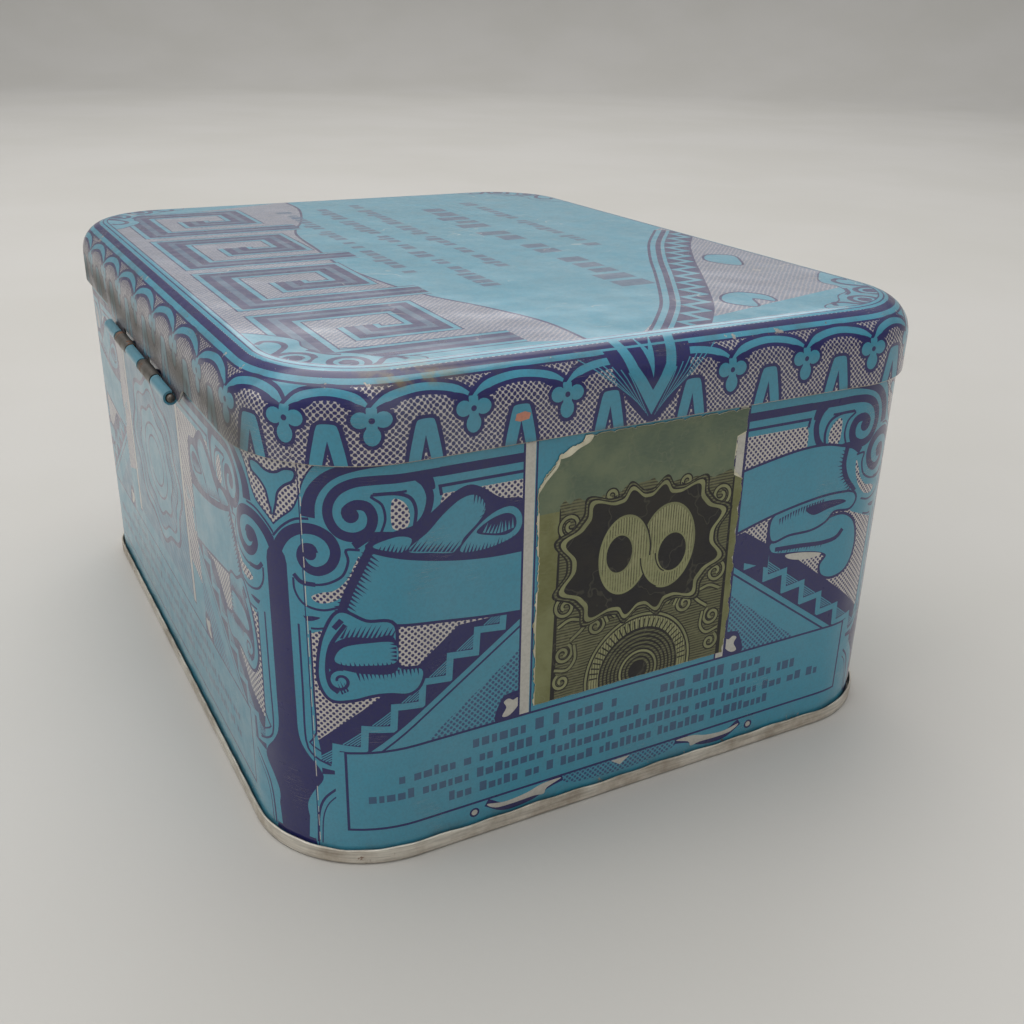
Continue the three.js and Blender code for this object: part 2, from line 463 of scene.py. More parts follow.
@dataclass
class Outline:
    """The tin's plan: a rectangle with round corners, and u as the distance round it.

    u is 0 in the middle of the end at -X and grows towards -Y, round the front and back again.
    """

    length: float
    depth: float
    radius: float

    @property
    def quarter(self) -> float:
        """The length of one corner's arc."""
        return math.pi * self.radius / 2

    @property
    def around(self) -> float:
        """The whole way round."""
        return 2 * (self.length + self.depth) - 8 * self.radius + 4 * self.quarter

    def foot(self, u: Array, grow: Array | float = 0.0) -> tuple[Array, Array]:
        """Places and outward normals in plan at u, on the outline grown by `grow`.

        Straight stretches are followed at even speed, and in a corner the normal turns evenly.

        Args:
            u: the distance round the tin.
            grow: how far the outline is moved outwards.

        Returns:
            The places and the normals.
        """
        u = np.mod(np.asarray(u, float), self.around)
        half_end, side = self.depth / 2 - self.radius, self.length - 2 * self.radius
        q = self.quarter
        knots = np.cumsum([0, half_end, q, side, q, 2 * half_end, q, side, q, half_end])
        turn = np.radians([180, 180, 270, 270, 360, 360, 450, 450, 540, 540])
        angle = np.interp(u, knots, turn)
        x0, y0 = self.length / 2 - self.radius, self.depth / 2 - self.radius
        centre_x = np.interp(u, knots, [-x0, -x0, -x0, x0, x0, x0, x0, -x0, -x0, -x0])
        centre_y = np.interp(u, knots, [0, -y0, -y0, -y0, -y0, y0, y0, y0, y0, 0])
        normal = np.stack([np.cos(angle), np.sin(angle)], axis=-1)
        reach = np.asarray(self.radius + grow)[..., None] * normal
        return np.stack([centre_x, centre_y], axis=-1) + reach, normal

    def on_wall(self, flat: Array, grow: Array | float = 0.0) -> tuple[Array, Array]:
        """Lays wall artwork: u turns into the plan, and the height stays.

        Args:
            flat: flat points of the artwork, as u and height.
            grow: how far off the wall's outside.

        Returns:
            The places and the normals.
        """
        foot, out = self.foot(flat[:, 0], grow)
        return np.column_stack([foot, flat[:, 1]]), np.column_stack([out, np.zeros(len(flat))])

    def along(self, points: Array, normals: Array) -> Array:
        """The distance u of points whose outward normals in plan are known.

        It is the run along the rectangle of corner centres plus the corner radius times the turn.

        Args:
            points: places in plan.
            normals: the outward normal at each.

        Returns:
            One u per point.
        """
        x0, y0 = self.length / 2 - self.radius, self.depth / 2 - self.radius
        turn = np.mod(np.arctan2(normals[:, 1], normals[:, 0]) - math.pi, 2 * math.pi)
        side = np.floor(turn / (math.pi / 2) + 0.5).astype(int)
        cx, cy = np.clip(points[:, 0], -x0, x0), np.clip(points[:, 1], -y0, y0)
        runs = [-cy, y0 + x0 + cx, 2 * x0 + 2 * y0 + cy, 3 * x0 + 3 * y0 - cx, 4 * x0 + 4 * y0 - cy]
        return self.radius * turn + np.choose(side, runs)

    def stops(self, first: float, straight: float, bend: float) -> Array:
        """Values of u once round from `first`, close together in the corners.

        Args:
            first: u of the first value.
            straight: the spacing on the straight sides.
            bend: the spacing in the corners.

        Returns:
            The values, rising, with both ends.
        """
        half_end, side = self.depth / 2 - self.radius, self.length - 2 * self.radius
        runs = [
            half_end, self.quarter, side, self.quarter, 2 * half_end, self.quarter, side, self.quarter,
            half_end,
        ]
        found, start = [], 0.0
        for index, run in enumerate(runs):
            count = max(1, round(run / (bend if index % 2 else straight)))
            found.append(start + run * np.arange(count) / count)
            start += run
        u = np.concatenate(found)
        u = np.sort(np.mod(u - first, self.around)) + first
        return np.append(u if u[0] - first < 1e-6 else np.insert(u, 0, first), first + self.around)

    def bends(self, per_corner: int) -> Array:
        """Values of u spread evenly over each of the four corners.

        Args:
            per_corner: how many steps in each corner.

        Returns:
            The values, corner by corner.
        """
        half_end, side = self.depth / 2 - self.radius, self.length - 2 * self.radius
        starts = np.cumsum([
            half_end, self.quarter + side, self.quarter + 2 * half_end, self.quarter + side
        ])
        return (starts[:, None] + self.quarter * np.linspace(0, 1, per_corner + 1)[None]).ravel()

    def sweep(self, u: Array, profile: Array, normals: Array, ink: Ink) -> Skin:
        """A profile of (grow, height) points carried round the outline, with (out, up) normals.

        The faces look to the right of the profile's run as it is seen with `out` to the right.

        Args:
            u: where the profile stands, in order.
            profile: its points, as (grow, height).
            normals: its normals, as (out, up).
            ink: what it is covered with.

        Returns:
            The swept skin.
        """
        points, out = self.foot(u[:, None], profile[None, :, 0])
        heights = np.broadcast_to(profile[None, :, 1:], points.shape[:2] + (1,))
        facing = np.concatenate(
            [out * normals[None, :, :1], np.broadcast_to(normals[None, :, 1:], heights.shape)], axis=-1
        )
        prints = np.stack(np.broadcast_arrays(u[:, None], profile[None, :, 1]), axis=-1)
        return grid_skin(np.concatenate([points, heights], axis=-1), facing, prints, ink)


def round_profile(corners: Points, radii: Sequence[float], steps: int = 4) -> tuple[Array, Array]:
    """An open profile with rounded corners, and its normals to the right of its run.

    Args:
        corners: the profile's corner points.
        radii: one radius for each inner corner.
        steps: pieces in each rounded corner.

    Returns:
        The profile's points and the normal at each; straight runs share their ends' normals.
    """
    p = np.asarray(corners, float)
    points, normals = [p[:1]], []
    run = np.diff(p, axis=0)
    run /= np.linalg.norm(run, axis=1, keepdims=True)
    left = np.stack([-run[:, 1], run[:, 0]], axis=1)
    normals.append(-left[:1])
    for i, radius in enumerate(radii, start=1):
        cross = run[i - 1][0] * run[i][1] - run[i - 1][1] * run[i][0]
        bend = math.atan2(cross, float(run[i - 1] @ run[i]))
        reach = radius * math.tan(abs(bend) / 2)
        side = math.copysign(1.0, bend)
        centre = p[i] - run[i - 1] * reach + left[i - 1] * side * radius
        angles = np.linspace(0, bend, steps + 1)
        c, s = np.cos(angles)[:, None], np.sin(angles)[:, None]
        spin = left[i - 1] * c + np.array([-left[i - 1][1], left[i - 1][0]]) * s
        points.append(centre - side * radius * spin)
        normals.append(-spin)
    points.append(p[-1:])
    normals.append(-left[-1:])
    return np.concatenate(points), np.concatenate(normals)


def rounded_edge(inner: Array, outer: Array, closed: bool, ink: Ink, steps: int = 4) -> Skin:
    """Closes the gap between two matching runs of points with a half-round edge.

    With e the unit step from the inner run to the outer and b = tangent x e, the edge is the middle
    minus cos(t) e plus sin(t) b, times half the thickness, for t from 0 to 180 degrees.

    Args:
        inner: the run on the inner face.
        outer: the run on the outer face.
        closed: whether the runs join up with their starts.
        ink: what it is covered with.
        steps: pieces across the edge.

    Returns:
        The edge as a skin.
    """
    along = np.roll(outer, -1, 0) - np.roll(outer, 1, 0)
    if not closed:
        along[0], along[-1] = outer[1] - outer[0], outer[-1] - outer[-2]
    across = outer - inner
    half = np.linalg.norm(across, axis=1, keepdims=True) / 2
    e = across / np.maximum(2 * half, 1e-9)
    b = np.cross(along, e)
    b /= np.maximum(np.linalg.norm(b, axis=1, keepdims=True), 1e-9)
    t = np.linspace(0, math.pi, steps + 1)[None, :, None]
    normals = -np.cos(t) * e[:, None] + np.sin(t) * b[:, None]
    places = (inner + outer)[:, None] / 2 + half[:, None] * normals
    if closed:
        places, normals = (np.concatenate([a, a[:1]]) for a in (places, normals))
    reach = run_along(places[:, 0])
    prints = np.stack(np.broadcast_arrays(reach[:, None], half.mean() * t[:, :, 0]), axis=-1)
    return grid_skin(places, normals, prints, ink)


def bar_along_x(section: Array, start: float, end: float, ink: Ink) -> list[Skin]:
    """A closed section in (Y, Z) carried along X from start to end, with both ends closed.

    Args:
        section: its closed outline, as (Y, Z).
        start: X of one end.
        end: X of the other end.
        ink: what it is covered with.

    Returns:
        Its sides and its two ends.
    """
    loop = section if winding(section) > 0 else section[::-1]
    ring = np.concatenate([loop, loop[:1]])
    run = np.diff(ring, axis=0)
    facing = np.stack([run[:, 1], -run[:, 0]], axis=1) / np.linalg.norm(run, axis=1, keepdims=True)
    skins = []
    for side in range(len(run)):
        corners = np.array([[(x, *ring[side + k]) for x in (start, end)] for k in (0, 1)])
        normals = np.broadcast_to((0.0, *facing[side]), corners.shape)
        prints = corners[..., :2]
        skins.append(grid_skin(corners, normals, prints, ink))

    def upright(flat: Array) -> tuple[Array, Array]:
        """Stands the flat section up at X = 0, looking along X."""
        zeros = np.zeros(len(flat))
        return np.column_stack([zeros, flat]), np.column_stack([zeros + 1, zeros, zeros])

    flat_end = Artwork(ink).cut([loop], [], upright)
    for x, skin in ((end, flat_end), (start, flat_end.turned_inside_out())):
        skins.append(Skin(skin.places + (x, 0, 0), skin.faces, skin.normals, skin.prints, skin.inks))
    return skins


def rod_along_x(axis: tuple[float, float], radius: float, half_length: float, ink: Ink) -> Skin:
    """A round rod along X with rounded ends: a circle of the profile's radius at each place along X.

    Args:
        axis: Y and Z of its middle line.
        radius: the rod's radius.
        half_length: half its length.
        ink: what it is covered with.

    Returns:
        The rod as a skin.
    """
    bend = np.linspace(0, math.pi / 2, 7)
    nose = radius * 0.6
    profile_x = np.concatenate([
        -half_length + nose * (1 - np.sin(bend)), half_length - nose * (1 - np.sin(bend))
    ])
    profile_x = np.sort(np.concatenate([profile_x, np.linspace(
        -half_length + nose, half_length - nose, 40
    )]))
    inner = np.clip(np.abs(profile_x) - (half_length - nose), 0, nose) / nose
    profile_r = radius * np.sqrt(np.clip(1 - inner**2, 0, 1))
    t = np.linspace(0, 2 * math.pi, 33)[:, None]
    ring = np.stack([np.zeros_like(t), np.cos(t), np.sin(t)], axis=-1)
    places = ring * profile_r[None, :, None] + (0, *axis)
    places = places + profile_x[None, :, None] * np.array([1.0, 0, 0])
    lean = np.sign(profile_x) * inner
    normals = ring * np.sqrt(
        np.clip(1 - inner**2, 0, 1)
    )[None, :, None] + lean[None, :, None] * np.array([1.0, 0, 0])
    prints = np.stack(np.broadcast_arrays(profile_x[None, :], radius * t), axis=-1)
    return grid_skin(places, normals, prints, ink)


# ---------------------------------------------------------------- finishes


class Nodes:
    """A material's nodes by short calls: each call adds one node and returns its result."""

    def __init__(self, name: str) -> None:
        """Starts an empty material.

        Args:
            name: the material's name.
        """
        self.material = bpy.data.materials.new(name)
        self.material.use_nodes = True
        self.tree = self.material.node_tree
        self.tree.nodes.clear()

    def add(self, kind: str, **settings: object) -> bpy.types.Node:
        """Adds a node of a kind and sets its properties.

        Args:
            kind: the node's type.
            settings: its properties, by name.

        Returns:
            The node.
        """
        node = self.tree.nodes.new(kind)
        for key, value in settings.items():
            setattr(node, key, value)
        return node

    def put(self, socket: bpy.types.NodeSocket, value: object) -> None:
        """Links a result into a socket, or sets the socket's own value.

        Args:
            socket: what is set.
            value: a result, or a plain value.
        """
        if isinstance(value, bpy.types.NodeSocket):
            self.tree.links.new(value, socket)
        else:
            socket.default_value = value

    def math(self, operation: str, *values: object, clamp: bool = False) -> bpy.types.NodeSocket:
        """Arithmetic on numbers.

        Args:
            operation: the operation's name.
            values: what it works on, in order.
            clamp: whether to keep the result between 0 and 1.

        Returns:
            The result.
        """
        node = self.add("ShaderNodeMath", operation=operation, use_clamp=clamp)
        for socket, value in zip(node.inputs, values):
            self.put(socket, value)
        return node.outputs[0]

    def vector(self, operation: str, *values: object) -> bpy.types.NodeSocket:
        """Arithmetic on vectors.

        Args:
            operation: the operation's name.
            values: what it works on, in order.

        Returns:
            The result.
        """
        node = self.add("ShaderNodeVectorMath", operation=operation)
        for socket, value in zip(node.inputs, values):
            self.put(socket, value)
        return node.outputs["Value" if operation in ("LENGTH", "DOT_PRODUCT") else "Vector"]

    def times(self, first: object, second: object) -> bpy.types.NodeSocket:
        """The product of two numbers."""
        return self.math("MULTIPLY", first, second)

    def where(self) -> bpy.types.NodeSocket:
        """The place on the piece, in millimetres."""
        return self.vector("MULTIPLY", self.add("ShaderNodeTexCoord").outputs["Object"], (1000, 1000, 1000))

    def printed(self) -> bpy.types.NodeSocket:
        """The place on the artwork, in millimetres."""
        return self.add("ShaderNodeUVMap", uv_map="Print").outputs["UV"]

    def part(self, vector: bpy.types.NodeSocket, axis: str) -> bpy.types.NodeSocket:
        """One coordinate of a vector.

        Args:
            vector: the vector.
            axis: X, Y or Z.

        Returns:
            The coordinate.
        """
        node = self.add("ShaderNodeSeparateXYZ")
        self.put(node.inputs[0], vector)
        return node.outputs[axis]

    def noise(
        self,
        where: bpy.types.NodeSocket,
        size: float,
        detail: float = 3.0,
        roughness: float = 0.55,
        stretch: tuple[float, float, float] = (1, 1, 1),
        shift: float = 0.0,
    ) -> bpy.types.NodeSocket:
        """Soft random cloud from 0 to 1, its lumps about `size` millimetres across.

        Args:
            where: the place to read it at.
            size: how large its lumps are.
            detail: how many finer layers it has.
            roughness: how strong those are.
            stretch: how much longer the lumps are along each axis.
            shift: moves the cloud, to get another one.

        Returns:
            The cloud.
        """
        scaled = self.vector(
            "MULTIPLY_ADD", where, tuple(1 / (size * s) for s in stretch), (shift, shift * 0.7, -shift)
        )
        node = self.add("ShaderNodeTexNoise")
        self.put(node.inputs["Vector"], scaled)
        self.put(node.inputs["Scale"], 1.0)
        self.put(node.inputs["Detail"], detail)
        self.put(node.inputs["Roughness"], roughness)
        return node.outputs["Fac"]

    def step(
        self, value: object, low: float, high: float, start: float = 0.0, end: float = 1.0
    ) -> bpy.types.NodeSocket:
        """A smooth rise from `start` to `end` as the value goes from low to high.

        Args:
            value: what it follows.
            low: the value where the rise begins.
            high: the value where it is over.
            start: the result up to `low`.
            end: the result from `high` on.

        Returns:
            The result.
        """
        node = self.add("ShaderNodeMapRange", interpolation_type="SMOOTHSTEP")
        for name, number in (
            ("Value", value), ("From Min", low), ("From Max", high), ("To Min", start), ("To Max", end)
        ):
            self.put(node.inputs[name], number)
        return node.outputs["Result"]

    def near(self, value: object, middle: float, width: float) -> bpy.types.NodeSocket:
        """1 where the value is at `middle`, falling to 0 at `width` on both sides."""
        away = self.math("ABSOLUTE", self.math("SUBTRACT", value, middle))
        return self.step(away, 0.0, width, 1.0, 0.0)

    def mix(self, factor: object, first: object, second: object) -> bpy.types.NodeSocket:
        """Blends two colours.

        Args:
            factor: 0 for the first, 1 for the second.
            first: one colour.
            second: the other colour.

        Returns:
            The blend.
        """
        node = self.add("ShaderNodeMix", data_type="RGBA")
        for socket, value in zip((node.inputs[0], node.inputs[6], node.inputs[7]), (factor, first, second)):
            self.put(socket, value)
        return node.outputs[2]

    def blend(self, factor: object, first: object, second: object) -> bpy.types.NodeSocket:
        """Blends two numbers.

        Args:
            factor: 0 for the first, 1 for the second.
            first: one number.
            second: the other number.

        Returns:
            The blend.
        """
        node = self.add("ShaderNodeMix", data_type="FLOAT")
        for socket, value in zip((node.inputs[0], node.inputs[2], node.inputs[3]), (factor, first, second)):
            self.put(socket, value)
        return node.outputs[0]

    def bump(self, *layers: tuple[object, float]) -> bpy.types.NodeSocket:
        """A bumped normal from heights, each with its depth in millimetres.

        Args:
            layers: pairs of a height and its depth.

        Returns:
            The normal.
        """
        normal = None
        for height, depth in layers:
            node = self.add("ShaderNodeBump")
            self.put(node.inputs["Strength"], 1.0)
            self.put(node.inputs["Distance"], depth * MM)
            self.put(node.inputs["Height"], height)
            if normal is not None:
                self.put(node.inputs["Normal"], normal)
            normal = node.outputs["Normal"]
        return normal

    def surface(self, **inputs: object) -> bpy.types.Material:
        """Ends the material in one glossy shader, its inputs named with underscores for spaces.

        Args:
            inputs: the shader's inputs.

        Returns:
            The finished material.
        """
        shader = self.add("ShaderNodeBsdfPrincipled")
        for key, value in inputs.items():
            self.put(shader.inputs[key.replace("_", " ")], value)
        output = self.add("ShaderNodeOutputMaterial")
        self.put(output.inputs["Surface"], shader.outputs[0])
        return self.material


Colour = tuple[float, float, float, float]


def colour(red: float, green: float, blue: float) -> Colour:
    """A colour given as it looks on a screen, from 0 to 255, turned into light.

    Args:
        red: red, 0 to 255.
        green: green, 0 to 255.
        blue: blue, 0 to 255.

    Returns:
        The colour with full opacity.
    """
    values = np.array([red, green, blue]) / 255
    light = np.where(values <= 0.04045, values / 12.92, ((values + 0.055) / 1.055) ** 2.4)
    return (*light.tolist(), 1.0)


# Where wear and dirt gather, in millimetres on the tin: heights, and places towards the hinge side.
ROLLED_EDGE, SKIRT_EDGE, FOOT, HINGE_SKIRT = 65.4, 56.5, (2.2, 4.2), (49.5, 51.3)

BARE_TIN = colour(178, 168, 160)
RUST = colour(104, 66, 40)
GRIME = colour(64, 60, 54)


class Pattern(Enum):
    """What is printed over a finish's own colour."""

    NONE = "none"
    DOTS = "even dots"
    LOOSE_DOTS = "dots set by hand"
    FINE_DOTS = "fine close dots"


@dataclass(frozen=True)
class PrintedTin:
    """Enamel ink under clear varnish on tinplate, rubbed, scratched, dented and spotted with rust."""

    name: str
    tint: Colour
    metallic: float = 0.0
    roughness: float = 0.38
    coat: float = 0.8
    gloss: float = 0.22
    pattern: Pattern = Pattern.NONE
    second: Colour = (0, 0, 0, 1)
    pitch: float = 1.0
    dot: float = 0.26
    fade: float = 0.10
    wear: float = 1.0

    def dots(self, n: Nodes) -> bpy.types.NodeSocket:
        """1 on the dots: two square lattices, each in the middle of the other's squares.

        Args:
            n: the material's nodes.

        Returns:
            The dots.
        """
        flat = n.printed()
        if self.pattern is not Pattern.DOTS:
            wander = n.add("ShaderNodeTexNoise")
            n.put(wander.inputs["Vector"], n.vector("MULTIPLY", flat, (0.8, 0.8, 0)))
            n.put(wander.inputs["Scale"], 1.0)
            push = n.vector("MULTIPLY", n.vector(
                "SUBTRACT", wander.outputs["Color"], (0.5, 0.5, 0.5)
            ), (0.55, 0.55, 0))
            flat = n.vector("ADD", flat, push)
        cell = n.vector("MULTIPLY", flat, (1 / self.pitch, 1 / self.pitch, 0))
        reach = []
        for shift in (0.0, 0.5):
            moved = n.vector("FRACTION", n.vector("ADD", cell, (shift + 50, shift + 50, 0)))
            reach.append(n.vector("LENGTH", n.vector(
                "MULTIPLY", n.vector("SUBTRACT", moved, (0.5, 0.5, 0)), (1, 1, 0)
            )))
        away = n.times(n.math("MINIMUM", *reach), self.pitch)
        return n.step(away, self.dot - 0.05, self.dot + 0.05, 1.0, 0.0)

    def build(self) -> bpy.types.Material:
        """Makes the material.

        Returns:
            The material.
        """
        n = Nodes(self.name)
        where = n.where()
        x, y, z = (n.part(where, axis) for axis in "XYZ")
        base: object = self.tint
        metallic: object = self.metallic
        if self.pattern is not Pattern.NONE:
            dots = self.dots(n)
            base = n.mix(dots, self.tint, self.second)
            metallic = n.blend(dots, self.metallic, 0.0)
        clouds = n.noise(where, 22, 4)
        base = n.mix(n.step(clouds, 0.35, 0.7, 0.0, self.fade), base, colour(150, 165, 170))
        grain = n.noise(where, 0.35, 2)
        base = n.mix(n.step(grain, 0.35, 0.75, 0.0, 0.16), base, GRIME)

        # Rubs and pits show the tin; they gather on the rolled edge, the skirt's lower edge and the foot.
        edge = n.math("MAXIMUM", n.near(z, ROLLED_EDGE, 1.6), n.near(z, SKIRT_EDGE, 0.7))
        edge = n.math("MAXIMUM", edge, n.step(z, *FOOT, 1.0, 0.0))
        rub = n.noise(where, 2.2, 8, 0.7, shift=4.0)
        limit = n.blend(edge, 0.735, 0.615)
        rubbed = n.step(n.math("SUBTRACT", rub, limit), 0.0, 0.03, 0.0, 0.85 * self.wear)
        hair = n.noise(where, 1.0, 2, stretch=(9, 9, 0.16), shift=2.0)
        length = n.noise(where, 9, 1, shift=7.0)
        scratch = n.times(n.near(hair, 0.5, 0.012), n.step(length, 0.6, 0.7))
        rubbed = n.math("MAXIMUM", rubbed, n.times(scratch, 0.45 * self.wear))
        base = n.mix(rubbed, base, BARE_TIN)
        metallic = n.blend(rubbed, metallic, 0.75)

        # Rust spots, and grime along the foot and the lid's edges.
        spot = n.noise(where, 1.3, 5, 0.6, shift=11.0)
        patch = n.noise(where, 14, 2, shift=3.0)
        rust_limit = n.blend(edge, 0.79, 0.70)
        rust = n.math("SUBTRACT", n.math("ADD", spot, n.step(patch, 0.5, 0.8, 0.0, 0.06)), rust_limit)
        rusty = n.step(rust, 0.0, 0.03, 0.0, 0.8 * self.wear)
        base = n.mix(rusty, base, RUST)
        dirt = n.times(n.step(n.noise(where, 5, 5, shift=6.0), 0.4, 0.7), edge)
        base = n.mix(n.times(dirt, 0.35), base, GRIME)

        rough = n.step(
            n.noise(where, 3.0, 5, 0.6, shift=1.0), 0.3, 0.7, self.roughness - 0.08, self.roughness + 0.12
        )
        rough = n.math("MAXIMUM", rough, n.times(n.math("MAXIMUM", rusty, rubbed), 0.6))

        # Years of dust cling to the hinge's skirt, and a yellow stain runs along a stretch of the edge.
        back = n.times(n.step(y, *HINGE_SKIRT), n.near(z, 58.5, 6.5))
        back = n.times(back, n.step(n.noise(where, 7, 5, shift=12.0), 0.25, 0.6, 0.4, 0.85))
        base = n.mix(back, base, colour(88, 86, 77))
        rough = n.math("MAXIMUM", rough, n.times(back, 0.9))
        stain = n.times(n.near(y, 34, 9), n.near(z, 65.7, 1.5))
        stain = n.times(stain, n.step(x, -57.0, -60.0))
        stain = n.times(stain, n.step(n.noise(where, 2.5, 6, shift=13.0), 0.35, 0.6))
        base = n.mix(n.times(stain, 0.75), base, colour(132, 116, 62))
        low = n.math("MAXIMUM", rubbed, rusty)
        dull = n.math("MAXIMUM", low, back)
        normal = n.bump(
            (n.noise(where, 20, 2, shift=9.0), 0.5),
            (n.noise(where, 0.8, 2), 0.012),
            (n.math("SUBTRACT", 1.0, low), 0.03),
        )
        coat_normal = n.bump((n.noise(where, 20, 2, shift=9.0), 0.5), (n.noise(where, 1.5, 2), 0.012))
        return n.surface(
            Base_Color=base,
            Metallic=metallic,
            Roughness=rough,
            Specular_IOR_Level=self.gloss,
            Normal=normal,
            Coat_Weight=n.times(n.math("SUBTRACT", 1.0, dull), self.coat),
            Coat_Roughness=0.16,
            Coat_Normal=coat_normal,
        )


@dataclass(frozen=True)
class BareMetal:
    """Bare tinplate or steel wire: streaked, tarnished and rusting."""

    name: str
    tint: Colour
    tarnish: Colour
    roughness: float = 0.42
    rust: float = 0.62
    metallic: float = 0.85

    def build(self) -> bpy.types.Material:
        """Makes the material.

        Returns:
            The material.
        """
        n = Nodes(self.name)
        where = n.where()
        clouds = n.noise(where, 9, 6, 0.65)
        base = n.mix(n.step(clouds, 0.38, 0.68), self.tint, self.tarnish)
        streak = n.noise(where, 1.0, 3, stretch=(6, 6, 0.3))
        base = n.mix(n.step(streak, 0.35, 0.75, 0.0, 0.35), base, GRIME)
        spot = n.noise(where, 2.0, 7, 0.7, shift=5.0)
        rusty = n.step(spot, self.rust, self.rust + 0.05, 0.0, 0.85)
        base = n.mix(rusty, base, RUST)
        rough = n.blend(rusty, n.step(clouds, 0.3, 0.7, self.roughness - 0.08, self.roughness + 0.15), 0.85)
        return n.surface(
            Base_Color=base,
            Metallic=n.blend(rusty, self.metallic, 0.0),
            Roughness=rough,
            Normal=n.bump((clouds, 0.10), (streak, 0.01), (spot, 0.05)),
        )


class Engraving(Enum):
    """How the seal's paper is printed."""

    BLANK = "blank"
    RULED = "fine level lines"
    UPRIGHT = "fine upright lines"


@dataclass(frozen=True)
class SealPaper:
    """Thin printed paper, stained, faded and rubbed, with its fibres showing."""

    name: str
    tint: Colour
    worn: Colour
    engraving: Engraving = Engraving.BLANK
    ink: Colour = (0, 0, 0, 1)

    def build(self) -> bpy.types.Material:
        """Makes the material.

        Returns:
            The material.
        """
        n = Nodes(self.name)
        where = n.where()
        flat = n.printed()
        u, v = n.part(flat, "X"), n.part(flat, "Y")
        clouds = n.noise(where, 6, 5, 0.6)
        base = n.mix(n.step(clouds, 0.36, 0.66), self.tint, self.worn)
        if self.engraving in (Engraving.RULED, Engraving.UPRIGHT):
            across = v if self.engraving is Engraving.RULED else u
            wave = n.math("SINE", n.times(n.math("ADD", across, n.times(clouds, 0.5)), 2 * math.pi / 0.42))
            fresh = n.noise(where, 2.4, 4, shift=2.0)
            line = n.times(n.step(wave, -0.2, 0.5), n.step(fresh, 0.3, 0.6, 0.35, 0.8))
            base = n.mix(line, base, self.ink)
        fibre = n.noise(where, 0.35, 3, stretch=(1, 3, 1))
        base = n.mix(n.step(fibre, 0.35, 0.75, 0.0, 0.3), base, self.worn)
        rub = n.noise(where, 1.6, 8, 0.75, shift=8.0)
        rubbed = n.step(rub, 0.60, 0.68, 0.0, 0.5)
        base = n.mix(rubbed, base, self.worn)
        crease = n.near(n.noise(where, 7, 3, shift=3.0), 0.5, 0.015)
        base = n.mix(n.times(crease, 0.10), base, colour(150, 148, 120))
        return n.surface(
            Base_Color=base,
            Roughness=n.step(clouds, 0.3, 0.7, 0.62, 0.85),
            Normal=n.bump((clouds, 0.12), (crease, 0.04), (fibre, 0.03)),
        )


CYAN = colour(54, 134, 158)
DEEP_NAVY = colour(27, 27, 86)
SILVER = colour(196, 190, 186)
SEAL_DARK = colour(24, 23, 26)
SEAL_PALE = colour(136, 138, 98)

FINISHES = {
    Ink.BLUE: PrintedTin("blue_enamel", CYAN),
    Ink.NAVY: PrintedTin("navy_enamel", DEEP_NAVY, roughness=0.34, fade=0.03, gloss=0.12),
    Ink.DOTTED: PrintedTin(
        "dotted_tin", SILVER, metallic=0.5, pattern=Pattern.DOTS, second=DEEP_NAVY, pitch=0.84, dot=0.215
    ),
    Ink.SCATTERED: PrintedTin(
        "scatter_dotted_tin",
        SILVER,
        metallic=0.6,
        pattern=Pattern.LOOSE_DOTS,
        second=DEEP_NAVY,
        pitch=0.76,
        dot=0.24,
    ),
    Ink.STIPPLED: PrintedTin(
        "stippled_blue", CYAN, pattern=Pattern.DOTS, second=colour(34, 62, 108), pitch=0.86, dot=0.22
    ),
    Ink.GREY_FIELD: PrintedTin(
        "stippled_grey",
        colour(146, 144, 152),
        metallic=0.4,
        pattern=Pattern.FINE_DOTS,
        second=colour(78, 96, 126),
        pitch=0.9,
        dot=0.24,
    ),
    Ink.PALE: PrintedTin("bare_strip", colour(188, 186, 178), metallic=0.35, fade=0.02),
    Ink.UNDERCOAT: PrintedTin("salmon_undercoat", colour(186, 128, 108), roughness=0.7, coat=0.0),
    Ink.FAINT: PrintedTin("faint_blue_ink", colour(40, 78, 112)),
    Ink.PLAIN: PrintedTin("lacquered_tin", colour(168, 160, 148), metallic=0.7, roughness=0.3),
    Ink.INSIDE: PrintedTin("gold_lacquer", colour(168, 146, 104), metallic=0.8, roughness=0.34, wear=0.6),
    Ink.SEAL_GREEN: SealPaper("seal_paper", colour(82, 97, 80), colour(108, 118, 94)),
    Ink.SEAL_MARGIN: SealPaper("seal_margin", colour(102, 103, 62), colour(124, 127, 90)),
    Ink.SEAL_ENGRAVED: SealPaper(
        "seal_engraving", colour(96, 97, 68), colour(108, 108, 80), Engraving.RULED, SEAL_DARK
    ),
    Ink.SEAL_BLACK: SealPaper("seal_black_ink", SEAL_DARK, colour(46, 44, 40)),
    Ink.SEAL_LIGHT: SealPaper("seal_light_line", SEAL_PALE, colour(118, 120, 88)),
    Ink.SEAL_HATCH: SealPaper(
        "seal_hatched_figure", SEAL_PALE, colour(148, 148, 112), Engraving.UPRIGHT, colour(58, 58, 38)
    ),
    Ink.TORN: SealPaper("torn_paper_fibre", colour(214, 208, 186), colour(170, 166, 140)),
}


RIM_TIN = BareMetal("rim_tin", colour(214, 208, 196), colour(168, 156, 140), 0.5, 0.64, 0.4)
HINGE_STEEL = BareMetal("hinge_steel", colour(122, 118, 112), colour(84, 76, 68), 0.4, 0.56)


